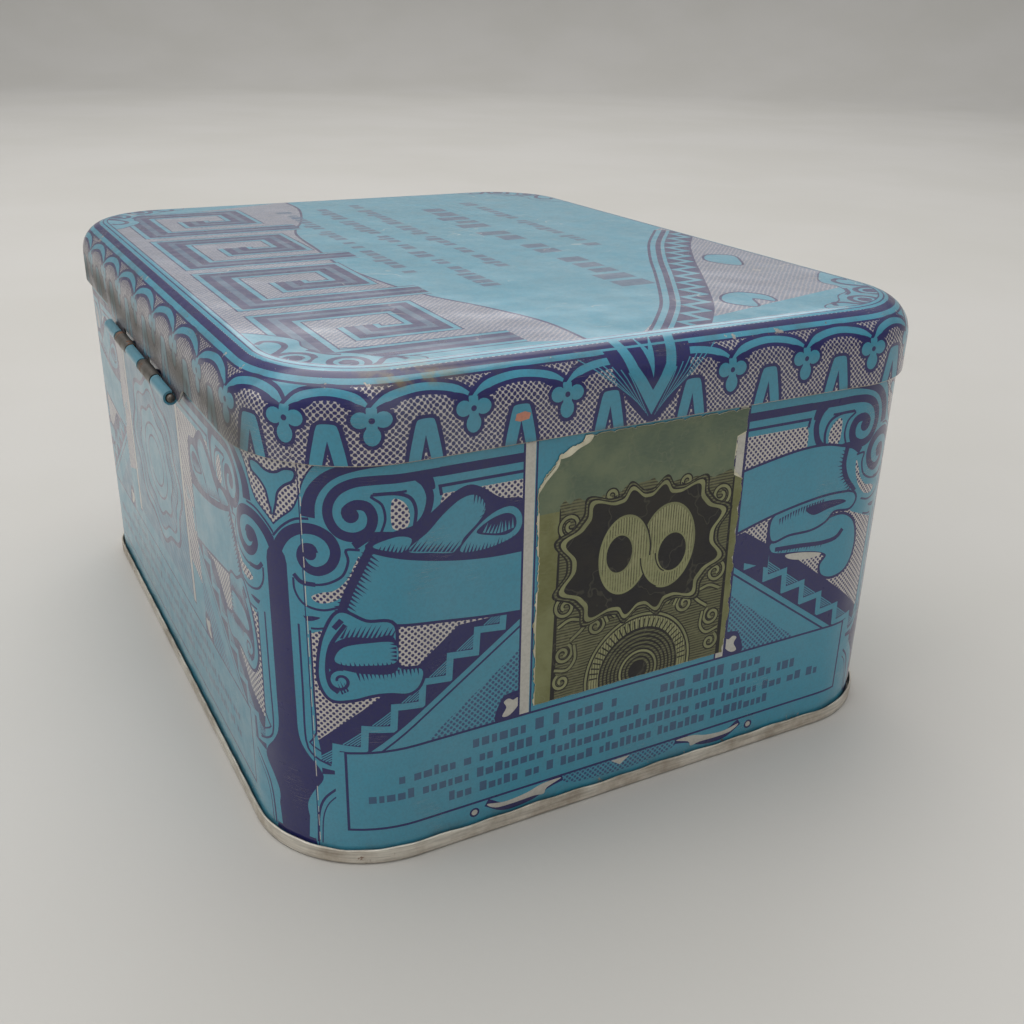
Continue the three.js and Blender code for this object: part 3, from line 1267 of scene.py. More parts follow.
def make_piece(name: str, skins: list[Skin], metal: BareMetal | None = None) -> bpy.types.Object:
    """Joins skins into one mesh object, with its finishes, its normals and its print coordinates.

    Points that coincide are merged, so that neighbouring skins share their edges.

    Args:
        name: the piece's name.
        skins: what it is made of, in millimetres.
        metal: one bare metal for the whole piece, where it isn't printed.

    Returns:
        The object, at the origin.
    """
    shift = np.cumsum([0] + [len(s.places) for s in skins[:-1]])
    places = np.concatenate([s.places for s in skins])
    faces = np.concatenate([s.faces + k for s, k in zip(skins, shift)])
    normals = np.concatenate([np.asarray(s.normals) for s in skins])
    prints = np.concatenate([np.asarray(s.prints) for s in skins])
    inks = np.concatenate([s.inks for s in skins])
    distinct, first, where = np.unique(np.round(places, 3), axis=0, return_index=True, return_inverse=True)
    faces = where.ravel()[faces]
    whole = (faces[:, 0] != faces[:, 1]) & (faces[:, 1] != faces[:, 2]) & (faces[:, 0] != faces[:, 2])
    faces, normals, prints, inks = faces[whole], normals[whole], prints[whole], inks[whole]

    mesh = bpy.data.meshes.new(name)
    mesh.vertices.add(len(distinct))
    mesh.vertices.foreach_set("co", (places[first] * MM).astype(np.float32).ravel())
    mesh.loops.add(faces.size)
    mesh.loops.foreach_set("vertex_index", faces.astype(np.int32).ravel())
    mesh.polygons.add(len(faces))
    mesh.polygons.foreach_set("loop_start", np.arange(0, faces.size, 3, dtype=np.int32))
    used = sorted(set(inks.tolist()))
    slots = np.searchsorted(used, inks).astype(np.int32)
    mesh.polygons.foreach_set("material_index", slots if metal is None else np.zeros_like(slots))
    mesh.update(calc_edges=True)
    layer = mesh.uv_layers.new(name="Print")
    layer.data.foreach_set("uv", prints.astype(np.float32).ravel())
    mesh.shade_smooth()
    mesh.normals_split_custom_set(normals.reshape(-1, 3).astype(np.float32))
    inks_here = [list(Ink)[i] for i in used]
    for material in [material_of(metal)] if metal else [material_of(FINISHES[ink]) for ink in inks_here]:
        mesh.materials.append(material)
    piece = bpy.data.objects.new(name, mesh)
    bpy.context.scene.collection.objects.link(piece)
    log.info("%s: %d triangles", name, len(faces))
    return piece


def material_of(finish: PrintedTin | BareMetal | SealPaper) -> bpy.types.Material:
    """The material of a finish, made once."""
    return bpy.data.materials.get(finish.name) or finish.build()


# ---------------------------------------------------------------- motifs
#
# The motifs are written where they stand on the seal's end, left of its middle. A pen carries them
# to the other places, turned round or mirrored.

COLUMN = -51.7  # u of the column between this panel and the one before it
END_MIDDLE = -2.7  # u of the seal end's middle
WINDOW = -19.6  # u of an end window's near side
PANEL_EDGE = -51.8  # where a panel's paint starts, just past the column's axis
PRINT_HIGH = 56.7  # how high the panels' paint reaches


def carried(origin: float, axis: float, direction: int = 1) -> Callable[[Array], Array]:
    """Carries the upright line at `origin` to `axis`, running on from there or mirrored (-1)."""
    return lambda p: np.stack([axis + direction * (p[:, 0] - origin), p[:, 1]], axis=1)


def mirrored(pen: Pen, axis: float, direction: int = -1) -> Pen:
    """A pen whose drawing is mirrored in an upright line first, or left as it is (1)."""
    turn = carried(axis, axis, direction)
    return Pen(pen.art, lambda p: pen.place(turn(p)))


def teeth(path: Array, length: float, pitch: float, lean: float = 0.0, seed: int = 1) -> list[Array]:
    """Fine pointed strokes set off a path to its left, as an engraver shades a fold.

    Each is a triangle on the path, its point moved out by the length and along by the lean.

    Args:
        path: the points along it.
        length: how far the longest reaches out.
        pitch: the spacing along the path.
        lean: how far a point leans along the path, as a share of its length.
        seed: starts the random draws.

    Returns:
        One triangle per stroke.
    """
    path = np.asarray(path, float)
    reach = run_along(path)
    stops = np.arange(pitch / 2, reach[-1], pitch)
    at = sampled(stops, reach, path)
    run = sampled(stops + 0.05, reach, path) - sampled(stops - 0.05, reach, path)
    run /= np.maximum(np.linalg.norm(run, axis=1, keepdims=True), 1e-9)
    left = np.stack([-run[:, 1], run[:, 0]], axis=1)
    size = length * np.random.default_rng(seed).uniform(0.55, 1.0, len(stops))[:, None]
    half = 0.36 * pitch
    tips = at + left * size + run * lean * size
    root = at - left * 0.1
    return list(np.stack([root - run * half, root + run * half, tips], axis=1))


def volute(
    pen: Pen, cx: float, cy: float, outer: float, start: float, turns: float, width: float = 1.15
) -> None:
    """A coiled navy band on blue, closing on a round eye.

    Args:
        pen: draws it at its place.
        cx: the middle, across.
        cy: the middle, up.
        outer: the radius where the band starts.
        start: the angle where it starts, in degrees.
        turns: how often it goes round.
        width: the band's width there.
    """
    coil = spiral(cx, cy, outer, outer * 0.22, start, turns)
    pen.line(Ink.NAVY, coil, np.linspace(width, width * 0.75, len(coil)))
    pen.area(Ink.NAVY, ellipse(cx, cy, outer * 0.27, outer * 0.27, steps=16))


def corner_scrolls(pen: Pen) -> None:
    """The scrolls that fill a panel's upper corner, between the column and the ruled bands.

    Args:
        pen: draws it at its place.
    """
    outer = curve([
        (-30.5, 56.5), (-38, 56.4), (-41.8, 55.9), (-44.2, 54.9), (-45.9, 53.2), (-46.7, 51.4),
        (-46.9, 49.6),
    ], step=1.0)
    pen.area(Ink.BLUE, np.concatenate([outer, [
        (-51.8, 49.4), (-51.8, 34), (-47.5, 34.2), (-44.4, 37.0), (-41.6, 41), (-40.2, 45.6),
        (-35.6, 47.6), (-31.2, 49.6), (-30.5, 52),
    ]]))
    # The wedge between this panel's corner and the next, with half of its forked drop.
    wedge = curve([
        (-51.8, 47.8), (-50.6, 48.9), (-48.9, 50.3), (-48.0, 52.0), (-47.3, 54.0), (-46.3, 55.6),
        (-45.0, 56.8),
    ], step=0.8)
    pen.area(Ink.BLUE, [(-51.8, 56.8), (-51.8, 46), (-47, 49), (-47, 52), (-44, 56.8)])
    pen.area(Ink.DOTTED, np.concatenate([wedge, [(-51.8, 56.8)]]))
    pen.line(Ink.NAVY, wedge, 0.22)
    fork = curve([
        (-51.8, 49.0), (-51.3, 50.6), (-50.9, 52.1), (-49.9, 53.2), (-48.6, 54.0), (-48.4, 55.0),
        (-49.6, 55.0), (-50.7, 54.4), (-51.8, 54.2),
    ], step=0.7)
    pen.line(Ink.NAVY, fork, 0.7)
    pen.area(Ink.BLUE, np.concatenate([fork, [(-51.8, 49.0)]]))
    pen.stroke([(-51.9, 46.3), (-50.4, 47.9), (-48.6, 49.1), (-46.8, 49.4)], 0.32)
    pen.line(Ink.NAVY, outer, np.linspace(0.6, 1.9, len(outer)) ** 1.3 * 0.8)
    # The upper scroll: the ruled band's navy runs on into its coil.
    coil = curve([
        (-30.5, 54.3), (-36, 54.3), (-39, 54.35), (-41.4, 54.1), (-43.3, 53.1), (-44.35, 51.4),
        (-44.35, 49.5), (-43.3, 47.9), (-41.5, 47.35), (-39.8, 48.1), (-39.3, 49.7), (-39.9, 51.1),
        (-41.2, 51.4), (-42.2, 50.7), (-42.1, 49.9),
    ], step=0.5)
    pen.line(Ink.NAVY, coil, np.linspace(1.1, 1.3, len(coil)))
    pen.area(Ink.NAVY, ellipse(-41.8, 50.1, 0.95, 0.95, steps=18))
    # The round-headed arch beside it.
    pen.stroke([(-35.2, 52.6), (-39.3, 52.5), (-38.2, 51.3), (-37.85, 49.4), (-38.5, 47.4)], 0.32)
    pen.stroke([(-39.2, 52.6), (-36.6, 52.5), (-34.8, 51.7), (-34.1, 50.0), (-34.4, 47.6)], 0.45)
    pen.shape(Ink.NAVY, [(-34.6, 54.4), (-32.8, 52.6), (-31.6, 52.4), (-32.4, 54.6)], 0.5)
    pen.stroke([
        (-33.6, 54.2), (-32.6, 52.6), (-32.3, 50.9), (-33.2, 48.6), (-35.6, 47.2), (-39.4, 47.4),
        (-41.6, 46.2),
    ], 1.0)
    pen.shape(Ink.DOTTED, [(-37.0, 51.7), (-35.6, 51.3), (-34.9, 49.8), (-35.2, 48.1), (-37.0, 48.2)])
    # The lower scroll grows out of the column.
    coil = curve([
        (-51.8, 42.0), (-51.7, 43.9), (-50.9, 45.7), (-49.7, 47.1), (-48.0, 48.0), (-46.0, 48.05),
        (-44.4, 47.1), (-43.75, 45.4), (-44.4, 43.6), (-46.0, 42.7), (-47.4, 43.1), (-48.1, 44.3),
        (-47.7, 45.5), (-46.7, 45.7), (-46.3, 45.0),
    ], step=0.5)
    pen.line(Ink.NAVY, coil, np.linspace(1.6, 1.05, len(coil)))
    pen.area(Ink.NAVY, ellipse(-46.9, 44.9, 0.85, 0.85, steps=16))
    pen.stroke([
        (-40.9, 45.7), (-42.5, 45.7), (-42.3, 44.3), (-43.0, 42.4), (-44.7, 41.3), (-46.4, 40.9),
        (-48.2, 41.0),
    ], 0.34)
    pen.stroke([(-46.4, 40.9), (-48.2, 41.0), (-49.2, 41.9)], 0.6)
    pen.shape(Ink.DOTTED, [
        (-41.0, 44.9), (-41.2, 43.0), (-42.3, 40.6), (-44.0, 39.0), (-46.0, 38.5), (-47.0, 39.2),
        (-45.8, 39.9), (-44.0, 40.4), (-42.4, 42.0), (-41.7, 43.6),
    ], 0.5)
    pen.stroke([
        (-49.3, 41.4), (-49.2, 39.8), (-48.5, 38.5), (-47.4, 37.8), (-45.5, 37.6), (-43.4, 38.2)
    ], 0.32)
    pen.shape(Ink.NAVY, [
        (-50.0, 37.2), (-48.4, 36.5), (-46.9, 36.6), (-46.0, 36.5), (-47.2, 35.9), (-48.8, 35.9),
        (-50.0, 36.4),
    ], 0.5)
    pen.stroke([(-48.8, 34.8), (-46.2, 35.0), (-44.6, 35.5)], 0.28)


def column(pen: Pen) -> None:
    """Half of the slim baluster that parts two panels, from its axis to the panel.

    Args:
        pen: draws it at its place.
    """
    pen.area(Ink.BLUE, [
        (-51.8, 2), (-46.9, 2), (-46.9, 17), (-47.3, 19.6), (-47.3, 35), (-49.6, 38.6), (-51.8, 42)
    ])
    half = curve(
        [
            (-50.1, 43), (-50.1, 36), (-50.1, 24), (-50.0, 19), (-49.0, 16.6), (-47.2, 14.4),
            (-46.8, 12.8), (-48.4, 10.4), (-49.3, 8), (-48.6, 4.4), (-48.2, 2),
        ],
        step=1.2,
    )
    pen.area(Ink.NAVY, np.concatenate([[(-51.8, 44.6), (-50.95, 45.0), (-50.3, 44.0)], half, [(-51.8, 2)]]))
    pen.stroke([(-48.95, 35.2), (-48.95, 26), (-48.95, 18.4), (-47.8, 16.2), (-45.6, 15.2)], 0.3, step=2)
    pen.stroke([(-47.4, 34.6), (-47.4, 26), (-47.4, 19.8), (-48.4, 18.2), (-46.6, 17.0)], 0.25, step=2)
    pen.stroke([(-48.9, 3.0), (-48.5, 7.6), (-47.7, 10.3), (-45.9, 12.2), (-44.0, 13.2)], 0.9, ink=Ink.BLUE)
    pen.stroke([(-48.0, 2.6), (-47.7, 7.0), (-46.9, 9.6), (-45.3, 11.4), (-43.8, 12.4)], 0.35)
    pen.stroke([(-47.4, 2.6), (-47.1, 6.6), (-46.3, 9.0), (-44.9, 10.6), (-43.8, 11.5)], 0.18)


def ribbon_scroll(pen: Pen) -> None:
    """The folded ribbon with its curled tail, blank, over the dotted ground.

    Args:
        pen: draws it at its place.
    """
    # The leaf that folds over the top.
    leaf = curve([
        (-39.6, 46.4), (-37.0, 47.3), (-33.7, 47.9), (-31.7, 49.2), (-29.6, 50.7), (-27.4, 51.6),
        (-25.6, 51.0), (-23.0, 49.2), (-19.6, 48.1), (-19.6, 42.4), (-26, 42.4), (-32, 43.4), (-37, 44.9),
        (-39.6, 45.6),
    ], True)
    pen.cased_area(leaf, 0.4, Ink.NAVY)
    pen.shape(Ink.BLUE, [
        (-35.2, 45.0), (-32.6, 46.9), (-30.6, 48.8), (-28.4, 50.3), (-26.6, 50.6), (-25.4, 49.8),
        (-25.0, 48.4), (-26.0, 46.9), (-27.9, 45.2), (-29.0, 43.6), (-32.2, 44.1),
    ])
    pen.comb(np.array([(-28.9, 43.6), (-35.2, 45.0)])[::-1], 1.6, 0.55, 0.6, 4)
    pen.comb(curve([(-24.6, 46.9), (-24.6, 49.2), (-26.8, 51.0)]), 1.5, 0.5, -0.6, 2)
    pen.shape(Ink.BLUE, [(-39.4, 46.1), (-37.2, 45.2), (-35.6, 45.0), (-34.7, 46.4), (-36.6, 47.0)])
    pen.comb(np.array([(-39.0, 45.4), (-35.2, 44.8)]), 1.3, 0.5, 0.3, 3)
    # The rolled end.
    pen.shape(Ink.BLUE, [
        (-28.4, 43.6), (-26.4, 46.0), (-24.0, 47.7), (-21.6, 48.2), (-20.2, 47.2), (-19.9, 45.6),
        (-20.8, 44.2), (-23.2, 43.4), (-26.0, 43.1),
    ])
    roll = curve([
        (-26.2, 45.6), (-24.2, 44.8), (-22.0, 44.5), (-20.8, 45.3), (-20.9, 46.7), (-22.2, 47.4),
        (-24.4, 46.9),
    ], True)
    pen.area(Ink.NAVY, roll)
    pen.comb(curve([(-25.4, 45.5), (-23.2, 45.0), (-21.2, 45.3)]), 1.6, 0.5, 0.2, 6, ink=Ink.BLUE)
    pen.comb(curve([(-28.2, 43.2), (-24.0, 42.9), (-20.0, 43.0)]), 1.5, 0.5, 0.3, 5)
    # The broad band.
    band = np.concatenate([
        curve([
            (-39.3, 45.1), (-37, 44.3), (-33, 43.2), (-28.5, 42.3), (-24, 41.8), (-19.4, 41.7)
        ], step=0.9),
        curve([(-19.4, 33.4), (-25, 33.9), (-30.5, 34.6), (-37, 35.5), (-43.2, 37.0)], step=0.9),
        curve([(-43.0, 37.4), (-42.0, 40.0), (-40.7, 42.8), (-39.6, 45.0)], step=0.9),
    ])
    pen.cased_area(band, 0.4)
    pen.stroke([(-43.6, 36.8), (-42.4, 40.2), (-41.1, 43.0), (-39.8, 45.6)], 1.1)
    pen.comb(curve([(-39.6, 45.2), (-40.7, 42.8), (-41.9, 40.0), (-42.9, 37.6)]), 1.7, 0.55, 0.3, 7)
    pen.comb(curve([(-43.9, 37.4), (-42.6, 40.8), (-41.3, 43.4), (-40.2, 45.4)]), 0.7, 0.6, -0.3, 12)
    # The tail that curls back under it.
    tail = curve([
        (-43.6, 37.4), (-45.6, 34.2), (-46.5, 30), (-46.4, 27.2), (-45.1, 25.2), (-42.5, 25.3),
        (-40, 25.9), (-37.8, 25.9), (-35.5, 25.4), (-34.0, 26.2), (-33.7, 28.4), (-36.9, 29.6),
        (-37.2, 35.3), (-40.5, 36.1),
    ], True)
    pen.cased_area(tail, 0.45)
    pen.shape(Ink.NAVY, [
        (-44.7, 33.0), (-42.6, 34.1), (-39.8, 33.9), (-37.2, 33.7), (-36.9, 29.0), (-40.6, 28.9),
        (-43.6, 29.5), (-45.1, 29.4), (-45.5, 31.4),
    ])
    pen.shape(Ink.BLUE, [
        (-44.5, 30.9), (-43.4, 32.6), (-40.6, 33.2), (-37.2, 32.9), (-37.0, 30.2), (-40.4, 30.1),
        (-43.4, 30.2),
    ])
    pen.stroke([(-43.0, 35.8), (-44.9, 32.8), (-45.5, 29.6), (-45.2, 27.2), (-44.2, 26.2)], 0.55)
    pen.stroke([(-43.4, 36.4), (-44.4, 35.2)], 0.7)
    pen.comb(curve([(-43.8, 34.0), (-41, 34.0), (-37.4, 33.8)]), 1.9, 0.55, 0.5, 9)
    pen.comb(curve([(-37.0, 33.0), (-37.0, 30.2)])[::-1], 0.9, 0.55, 0.2, 14)
    pen.comb(curve([(-44.4, 29.9), (-40.4, 29.9), (-37.0, 29.8)]), 0.8, 0.55, -0.2, 8)
    coil = spiral(-43.9, 27.9, 1.75, 0.4, 75, 1.3)
    pen.line(Ink.NAVY, coil, np.linspace(0.5, 0.35, len(coil)))
    pen.comb(curve([(-42.2, 29.0), (-39, 29.1), (-34.0, 28.8)])[::-1], 1.3, 0.5, -0.2, 10)
    pen.comb(curve([(-43.9, 26.0), (-42.9, 26.6)]), 1.9, 0.4, 0.2, 15)


STEP_ALONG = np.array([3.78, 2.78])
FIRST_BEND = np.array([-41.3, 17.7])
BEND_RISE = np.array([0.2, 3.2])


def zigzag_band(pen: Pen) -> None:
    """The slanting band of zigzag and hatched teeth, and the plain and stippled fields under it.

    The zigzag's bends repeat along one step: each rises by the bend's rise and runs on to the next.

    Args:
        pen: draws it at its place.
    """
    pen.area(Ink.NAVY, [
        (-48.6, 17.6), (-43.5, 22.0), (-38.6, 25.8), (-33.2, 29.8), (-28.6, 33.4), (-19.4, 33.4),
        (-19.4, 17), (-47.4, 13.6),
    ])
    path = []
    for number in range(-2, 7):
        low = FIRST_BEND + STEP_ALONG * number
        path += [low, low + BEND_RISE]
        first, last = low + BEND_RISE + (0.75, 0.45), low + STEP_ALONG + (-0.75, 0.75)
        for share in (0.08, 0.3, 0.52, 0.74, 0.94):
            start = first + (last - first) * share
            reach = STEP_ALONG * (0.62 * (1 - share) + 0.08)
            pen.line(Ink.BLUE, [start, start + reach], 0.16)
    pen.line(Ink.BLUE, path, 0.95)
    pen.area(Ink.BLUE, [(-43.6, 15.4), (-19.4, 32.7), (-19.4, 12), (-43.6, 12)])
    pen.line(Ink.NAVY, [(-43.8, 15.3), (-19.2, 32.8)], 0.34)
    pen.line(Ink.NAVY, [(-41.8, 15.4), (-19.2, 31.5)], 0.3)
    pen.area(Ink.STIPPLED, [(-33.6, 17.0), (-32.6, 17.9), (-19.4, 28.0), (-19.4, 17.0)])
    pen.shape(Ink.NAVY, [(-23.2, 17.4), (-22.4, 20.6), (-21.2, 21.3), (-19.4, 21.0), (-19.2, 17.4)])
    pen.shape(Ink.PALE, [
        (-22.2, 18.0), (-21.6, 19.2), (-22.0, 20.1), (-21.3, 20.5), (-20.6, 20.1), (-19.9, 20.3),
        (-19.6, 19.5), (-20.3, 18.5), (-21.3, 17.8),
    ], 0.3)


def far_ribbon(panel: Pen) -> None:
    """The ribbon on the far side of an end's window: a plain band folded under, with a round tail.

    Args:
        panel: the pen of the far half panel. The ribbon is drawn as it stands, so it is turned back.
    """
    pen = mirrored(panel, END_MIDDLE)
    pen.area(Ink.NAVY, [(13.4, 36.6), (21, 38.4), (21, 30.5), (13.4, 33.4)])
    pen.area(Ink.DOTTED, [(16.0, 37.2), (20.1, 38.1), (20.1, 34.6)])
    tail = curve([
        (21.3, 34.4), (24.6, 35.4), (28.5, 35.6), (31.4, 36.2), (34.4, 36.4), (36.8, 34.8), (37.9, 31.8),
        (37.6, 28.8), (36.2, 26.9), (33.8, 26.3), (31.8, 27.1), (31.3, 28.8), (32.2, 30.2), (30.2, 31.2),
        (26.2, 32.0), (22.2, 32.6), (21.1, 33.4),
    ], True, 0.7)
    pen.cased_area(tail, 0.45)
    pen.stroke([(22.0, 33.2), (26.4, 32.9), (30.8, 32.5), (33.6, 32.8), (34.8, 34.0)], 0.7)
    pen.comb(curve([(22.4, 33.2), (26.6, 32.9), (31.4, 32.6)])[::-1], 1.1, 0.55, 0.3, 21)
    pen.shape(Ink.PALE, [(24.2, 31.9), (27.6, 31.6), (31.2, 30.7), (28.6, 30.3), (25.2, 31.0)], 0.5)
    fold = curve([
        (21.0, 38.4), (25.6, 39.6), (30.4, 40.2), (35.0, 40.0), (36.6, 38.7), (35.6, 37.3), (32.6, 37.4),
        (31.0, 36.0), (28.4, 35.2), (24.4, 35.2), (21.2, 34.8),
    ], True, 0.7)
    pen.cased_area(fold, 0.4)
    pen.shape(Ink.NAVY, [
        (27.0, 38.7), (30.4, 39.2), (33.6, 39.0), (34.6, 38.4), (31.4, 37.9), (28.6, 37.4)
    ], 0.5)
    pen.comb(curve([(22.0, 37.9), (25.8, 38.9), (30.4, 39.5)])[::-1], 1.3, 0.5, 0.3, 22)
    band = np.concatenate([
        curve([(13.2, 46.1), (18, 47.0), (24, 47.9), (29, 48.0), (33.0, 47.2)], step=0.9),
        curve([(33.0, 46.9), (32.8, 44.6), (33.6, 42.2), (35.6, 40.0)], step=0.9),
        curve([(35.0, 40.3), (31, 40.4), (26, 39.9), (20, 38.8), (13.2, 37.0)], step=0.9),
    ])
    pen.cased_area(band, 0.4)
    pen.stroke([(33.5, 47.3), (33.3, 44.6), (34.2, 42.2), (36.2, 39.9)], 0.7)
    pen.comb(curve([(33.2, 46.6), (33.0, 44.4), (33.8, 42.2), (35.4, 40.4)])[::-1], 1.2, 0.55, 0.3, 23)


def half_panel(pen: Pen, window: float, far: bool = False) -> None:
    """The left half of a side's artwork, as far as the window in its middle.

    Args:
        pen: carries the half to its place.
        window: u where the window starts, in the motif's own place.
        far: whether this is the half past an end's window, whose ribbon differs.
    """
    pen.box(Ink.BLUE, PANEL_EDGE, window, 0, PRINT_HIGH)
    pen.area(Ink.DOTTED, [
        (-31.0, 47.5), (-31.0, 51.5), (window, 51.5), (window, 33), (-47.3, 17.8), (-47.3, 34.2),
        (-41.4, 36.6), (-33, 47),
    ])
    corner_scrolls(pen)
    zigzag_band(pen)
    column(pen)
    (far_ribbon if far else ribbon_scroll)(pen)
    for low, high in ((53.7, 54.9), (56.3, 56.8)):
        pen.box(Ink.NAVY, -31, window, low, high)
    pen.line(Ink.NAVY, [(window, 52.5), (-31.0, 52.5), (-30.8, 51.3)], 0.42)


def marks(pen: Pen, ink: Ink, start: float, end: float, low: float, height: float, seed: int) -> None:
    """A row of plain blocks of uneven width that stands for a line of print.

    Args:
        pen: draws it at its place.
        ink: what it is covered with.
        start: u of the first block.
        end: u past which no block starts.
        low: the foot of the row.
        height: the height of its tallest blocks.
        seed: starts the random draws.
    """
    rng = np.random.default_rng(seed)
    at, run = start, 0
    while at < end:
        width = height * rng.uniform(0.4, 0.8)
        tall = height * rng.choice([0.72, 0.72, 1.0])
        pen.box(ink, at, at + width, low, low + tall)
        run += 1
        at += width + height * 0.22
        if rng.random() < 0.08 + 0.04 * run:
            at += height * 0.6
            run = 0


def end_middle(pen: Pen, at_seal: bool) -> None:
    """The window, the notice panel and the scrolls under it, across the middle of an end.

    Args:
        pen: draws it at its place.
        at_seal: whether the seal covers the window, so that it has no medallion.
    """
    pen.box(Ink.BLUE, -19.6, 14.2, 17.4, 56.4)
    for left in (-19.6, 13.0):
        pen.box(Ink.PALE, left, left + 1.4, 17.4, 56.3)
        pen.box(Ink.NAVY, left - 0.3, left, 17.4, 56.3)
        pen.box(Ink.NAVY, left + 1.4 + (0.1 if left < 0 else -0.1), left + 1.75, 17.4, 56.3)
    # The notice panel.
    pen.box(Ink.BLUE, -45.2, 39.8, 3.0, 17.4)
    frame = np.array([(-43.7, 5.3), (38.3, 5.3), (38.3, 17.3), (-43.7, 17.3)])
    pen.line(Ink.NAVY, frame, 0.36, closed=True)
    for row, (start, end, low, height) in enumerate(
        (
            (-26.5, -4.5, 14.3, 1.8), (3.5, 22, 14.3, 1.8), (-37, 29, 11.9, 1.5), (-41, 33, 9.4, 1.5),
            (-30, 24, 7.0, 1.5),
        )
    ):
        marks(pen, Ink.FAINT, start, end, low, height, 20 + row)
    # The scrolls under it.
    pen.area(Ink.STIPPLED, curve([
        (-13.6, 5.1), (-12, 3.9), (-9, 3.2), (-2.7, 2.9), (3.6, 3.2), (6.6, 3.9), (8.2, 5.1)
    ], step=1.5))
    for mirror in (1, -1):
        side = mirrored(pen, END_MIDDLE, mirror)
        side.stroke([(-24.4, 4.7), (-21.5, 3.1), (-17.5, 3.3), (-14.8, 4.4), (-12.4, 4.95)], 1.2)
        side.shape(Ink.PALE, [
            (-24.3, 4.4), (-23.0, 3.4), (-20.4, 3.2), (-17.0, 3.3), (-15.4, 3.1), (-14.9, 4.0),
            (-12.6, 4.9), (-15.6, 4.9), (-18.2, 4.2), (-21.5, 3.9),
        ])
        side.area(Ink.NAVY, ellipse(-26.2, 3.7, 0.75, 0.75, steps=14))
        side.area(Ink.PALE, ellipse(-26.2, 3.7, 0.45, 0.45, steps=12))
    pen.area(Ink.PALE, [(END_MIDDLE - 1.6, 5.0), (END_MIDDLE, 3.9), (END_MIDDLE + 1.6, 5.0)])
    if not at_seal:
        medallion(pen, END_MIDDLE, 38.0, 11.0, 14.0)


def medallion(pen: Pen, cx: float, cy: float, rx: float, ry: float) -> None:
    """A blank lobed shield with a navy rim, as the middle of a side that has no seal.

    Args:
        pen: draws it at its place.
        cx: the middle, across.
        cy: the middle, up.
        rx: half the width.
        ry: half the height.
    """
    t = np.linspace(0, 2 * math.pi, 96, endpoint=False)
    lobes = 1 + 0.06 * np.cos(8 * t)
    for ink, size in (
        (Ink.NAVY, 1.0), (Ink.BLUE, 0.94), (Ink.NAVY, 0.84), (Ink.STIPPLED, 0.81), (Ink.NAVY, 0.66),
        (Ink.BLUE, 0.62),
    ):
        pen.area(ink, np.stack([
            cx + rx * size * lobes * np.cos(t), cy + ry * size * lobes * np.sin(t)
        ], axis=1))
    for reach in (0.30, 0.45):
        pen.line(Ink.NAVY, ellipse(cx, cy, rx * reach, ry * reach), 0.4, closed=True)


# ---------------------------------------------------------------- the tin


@dataclass(frozen=True)
class Sizes:
    """The tin's sizes in millimetres: those the frame's boxes give, and the few that they don't."""

    length: float
    depth: float
    wall_foot: float
    wall_top: float
    rim_out: float
    rim_height: float
    lid_out: float
    lid_top: float
    wire: tuple[float, float]
    wire_radius: float
    wire_half: float
    tab_foot: float
    tabs: tuple[tuple[float, float], ...]
    seal: tuple[float, float, float, float]
    corner: float = 16.5
    edge_radius: float = 5.2
    skirt: float = 10.4
    skirt_below_wire: float = 0.4
    step_run: float = 4.0
    step_margin: float = 0.4
    curl_clearance: float = 0.12
    slot_gap: float = 0.3
    hem_depth: float = 3.0
    hem_thickness: float = 0.9
    panel_height: float = 1.5

    @classmethod
    def read(cls) -> "Sizes":
        """Reads the sizes from the frame.

        Returns:
            The sizes.
        """

        def box(node: str) -> tuple[Array, Array]:
            """A node's corners in millimetres."""
            return tuple(np.array(corner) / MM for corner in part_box(node))

        wall, lid, rim, wire, seal = (
            box(n) for n in ("body_wall", "lid", "bottom_plate", "hinge_wire", "paper_seal")
        )
        tabs = [box(n) for n in ("hinge_tab_left", "hinge_tab_right")]
        length, depth = (wall[1] - wall[0])[:2]
        return cls(
            length=length,
            depth=depth,
            wall_foot=wall[0][2],
            wall_top=wall[1][2],
            rim_out=rim[1][0] - length / 2,
            rim_height=rim[1][2],
            lid_out=lid[1][0] - length / 2,
            lid_top=lid[1][2],
            wire=tuple((wire[0] + wire[1])[1:] / 2),
            wire_radius=(wire[1] - wire[0])[2] / 2,
            wire_half=wire[1][0],
            tab_foot=tabs[0][0][2],
            tabs=tuple((low[0], high[0]) for low, high in tabs),
            seal=(-seal[1][1], -seal[0][1], seal[0][2], seal[1][2]),
        )

    @property
    def outline(self) -> Outline:
        """The body's plan."""
        return Outline(self.length, self.depth, self.corner)

    @property
    def skirt_edge(self) -> float:
        """The height of the lid's edge at the front and the ends."""
        return self.lid_top - self.skirt

    @property
    def curl_inner(self) -> float:
        """The inside radius of the sheet curled round the wire."""
        return self.wire_radius + self.curl_clearance

    def at_back(self, x: Array) -> Array:
        """The distance u of places along the back wall."""
        points = np.column_stack([x, np.full(len(x), self.depth / 2)])
        return self.outline.along(points, np.broadcast_to((0.0, 1.0), points.shape))

    @property
    def lid_curls(self) -> list[tuple[float, float]]:
        """Where the lid's three curls start and end along X: before, between and after the tabs.

        Returns:
            Each curl's two ends.
        """
        (a, b), (c, _) = self.tabs
        pitch = (c - a) / 2
        return [(a + pitch * k, b + pitch * k) for k in (-1, 1, 3)]


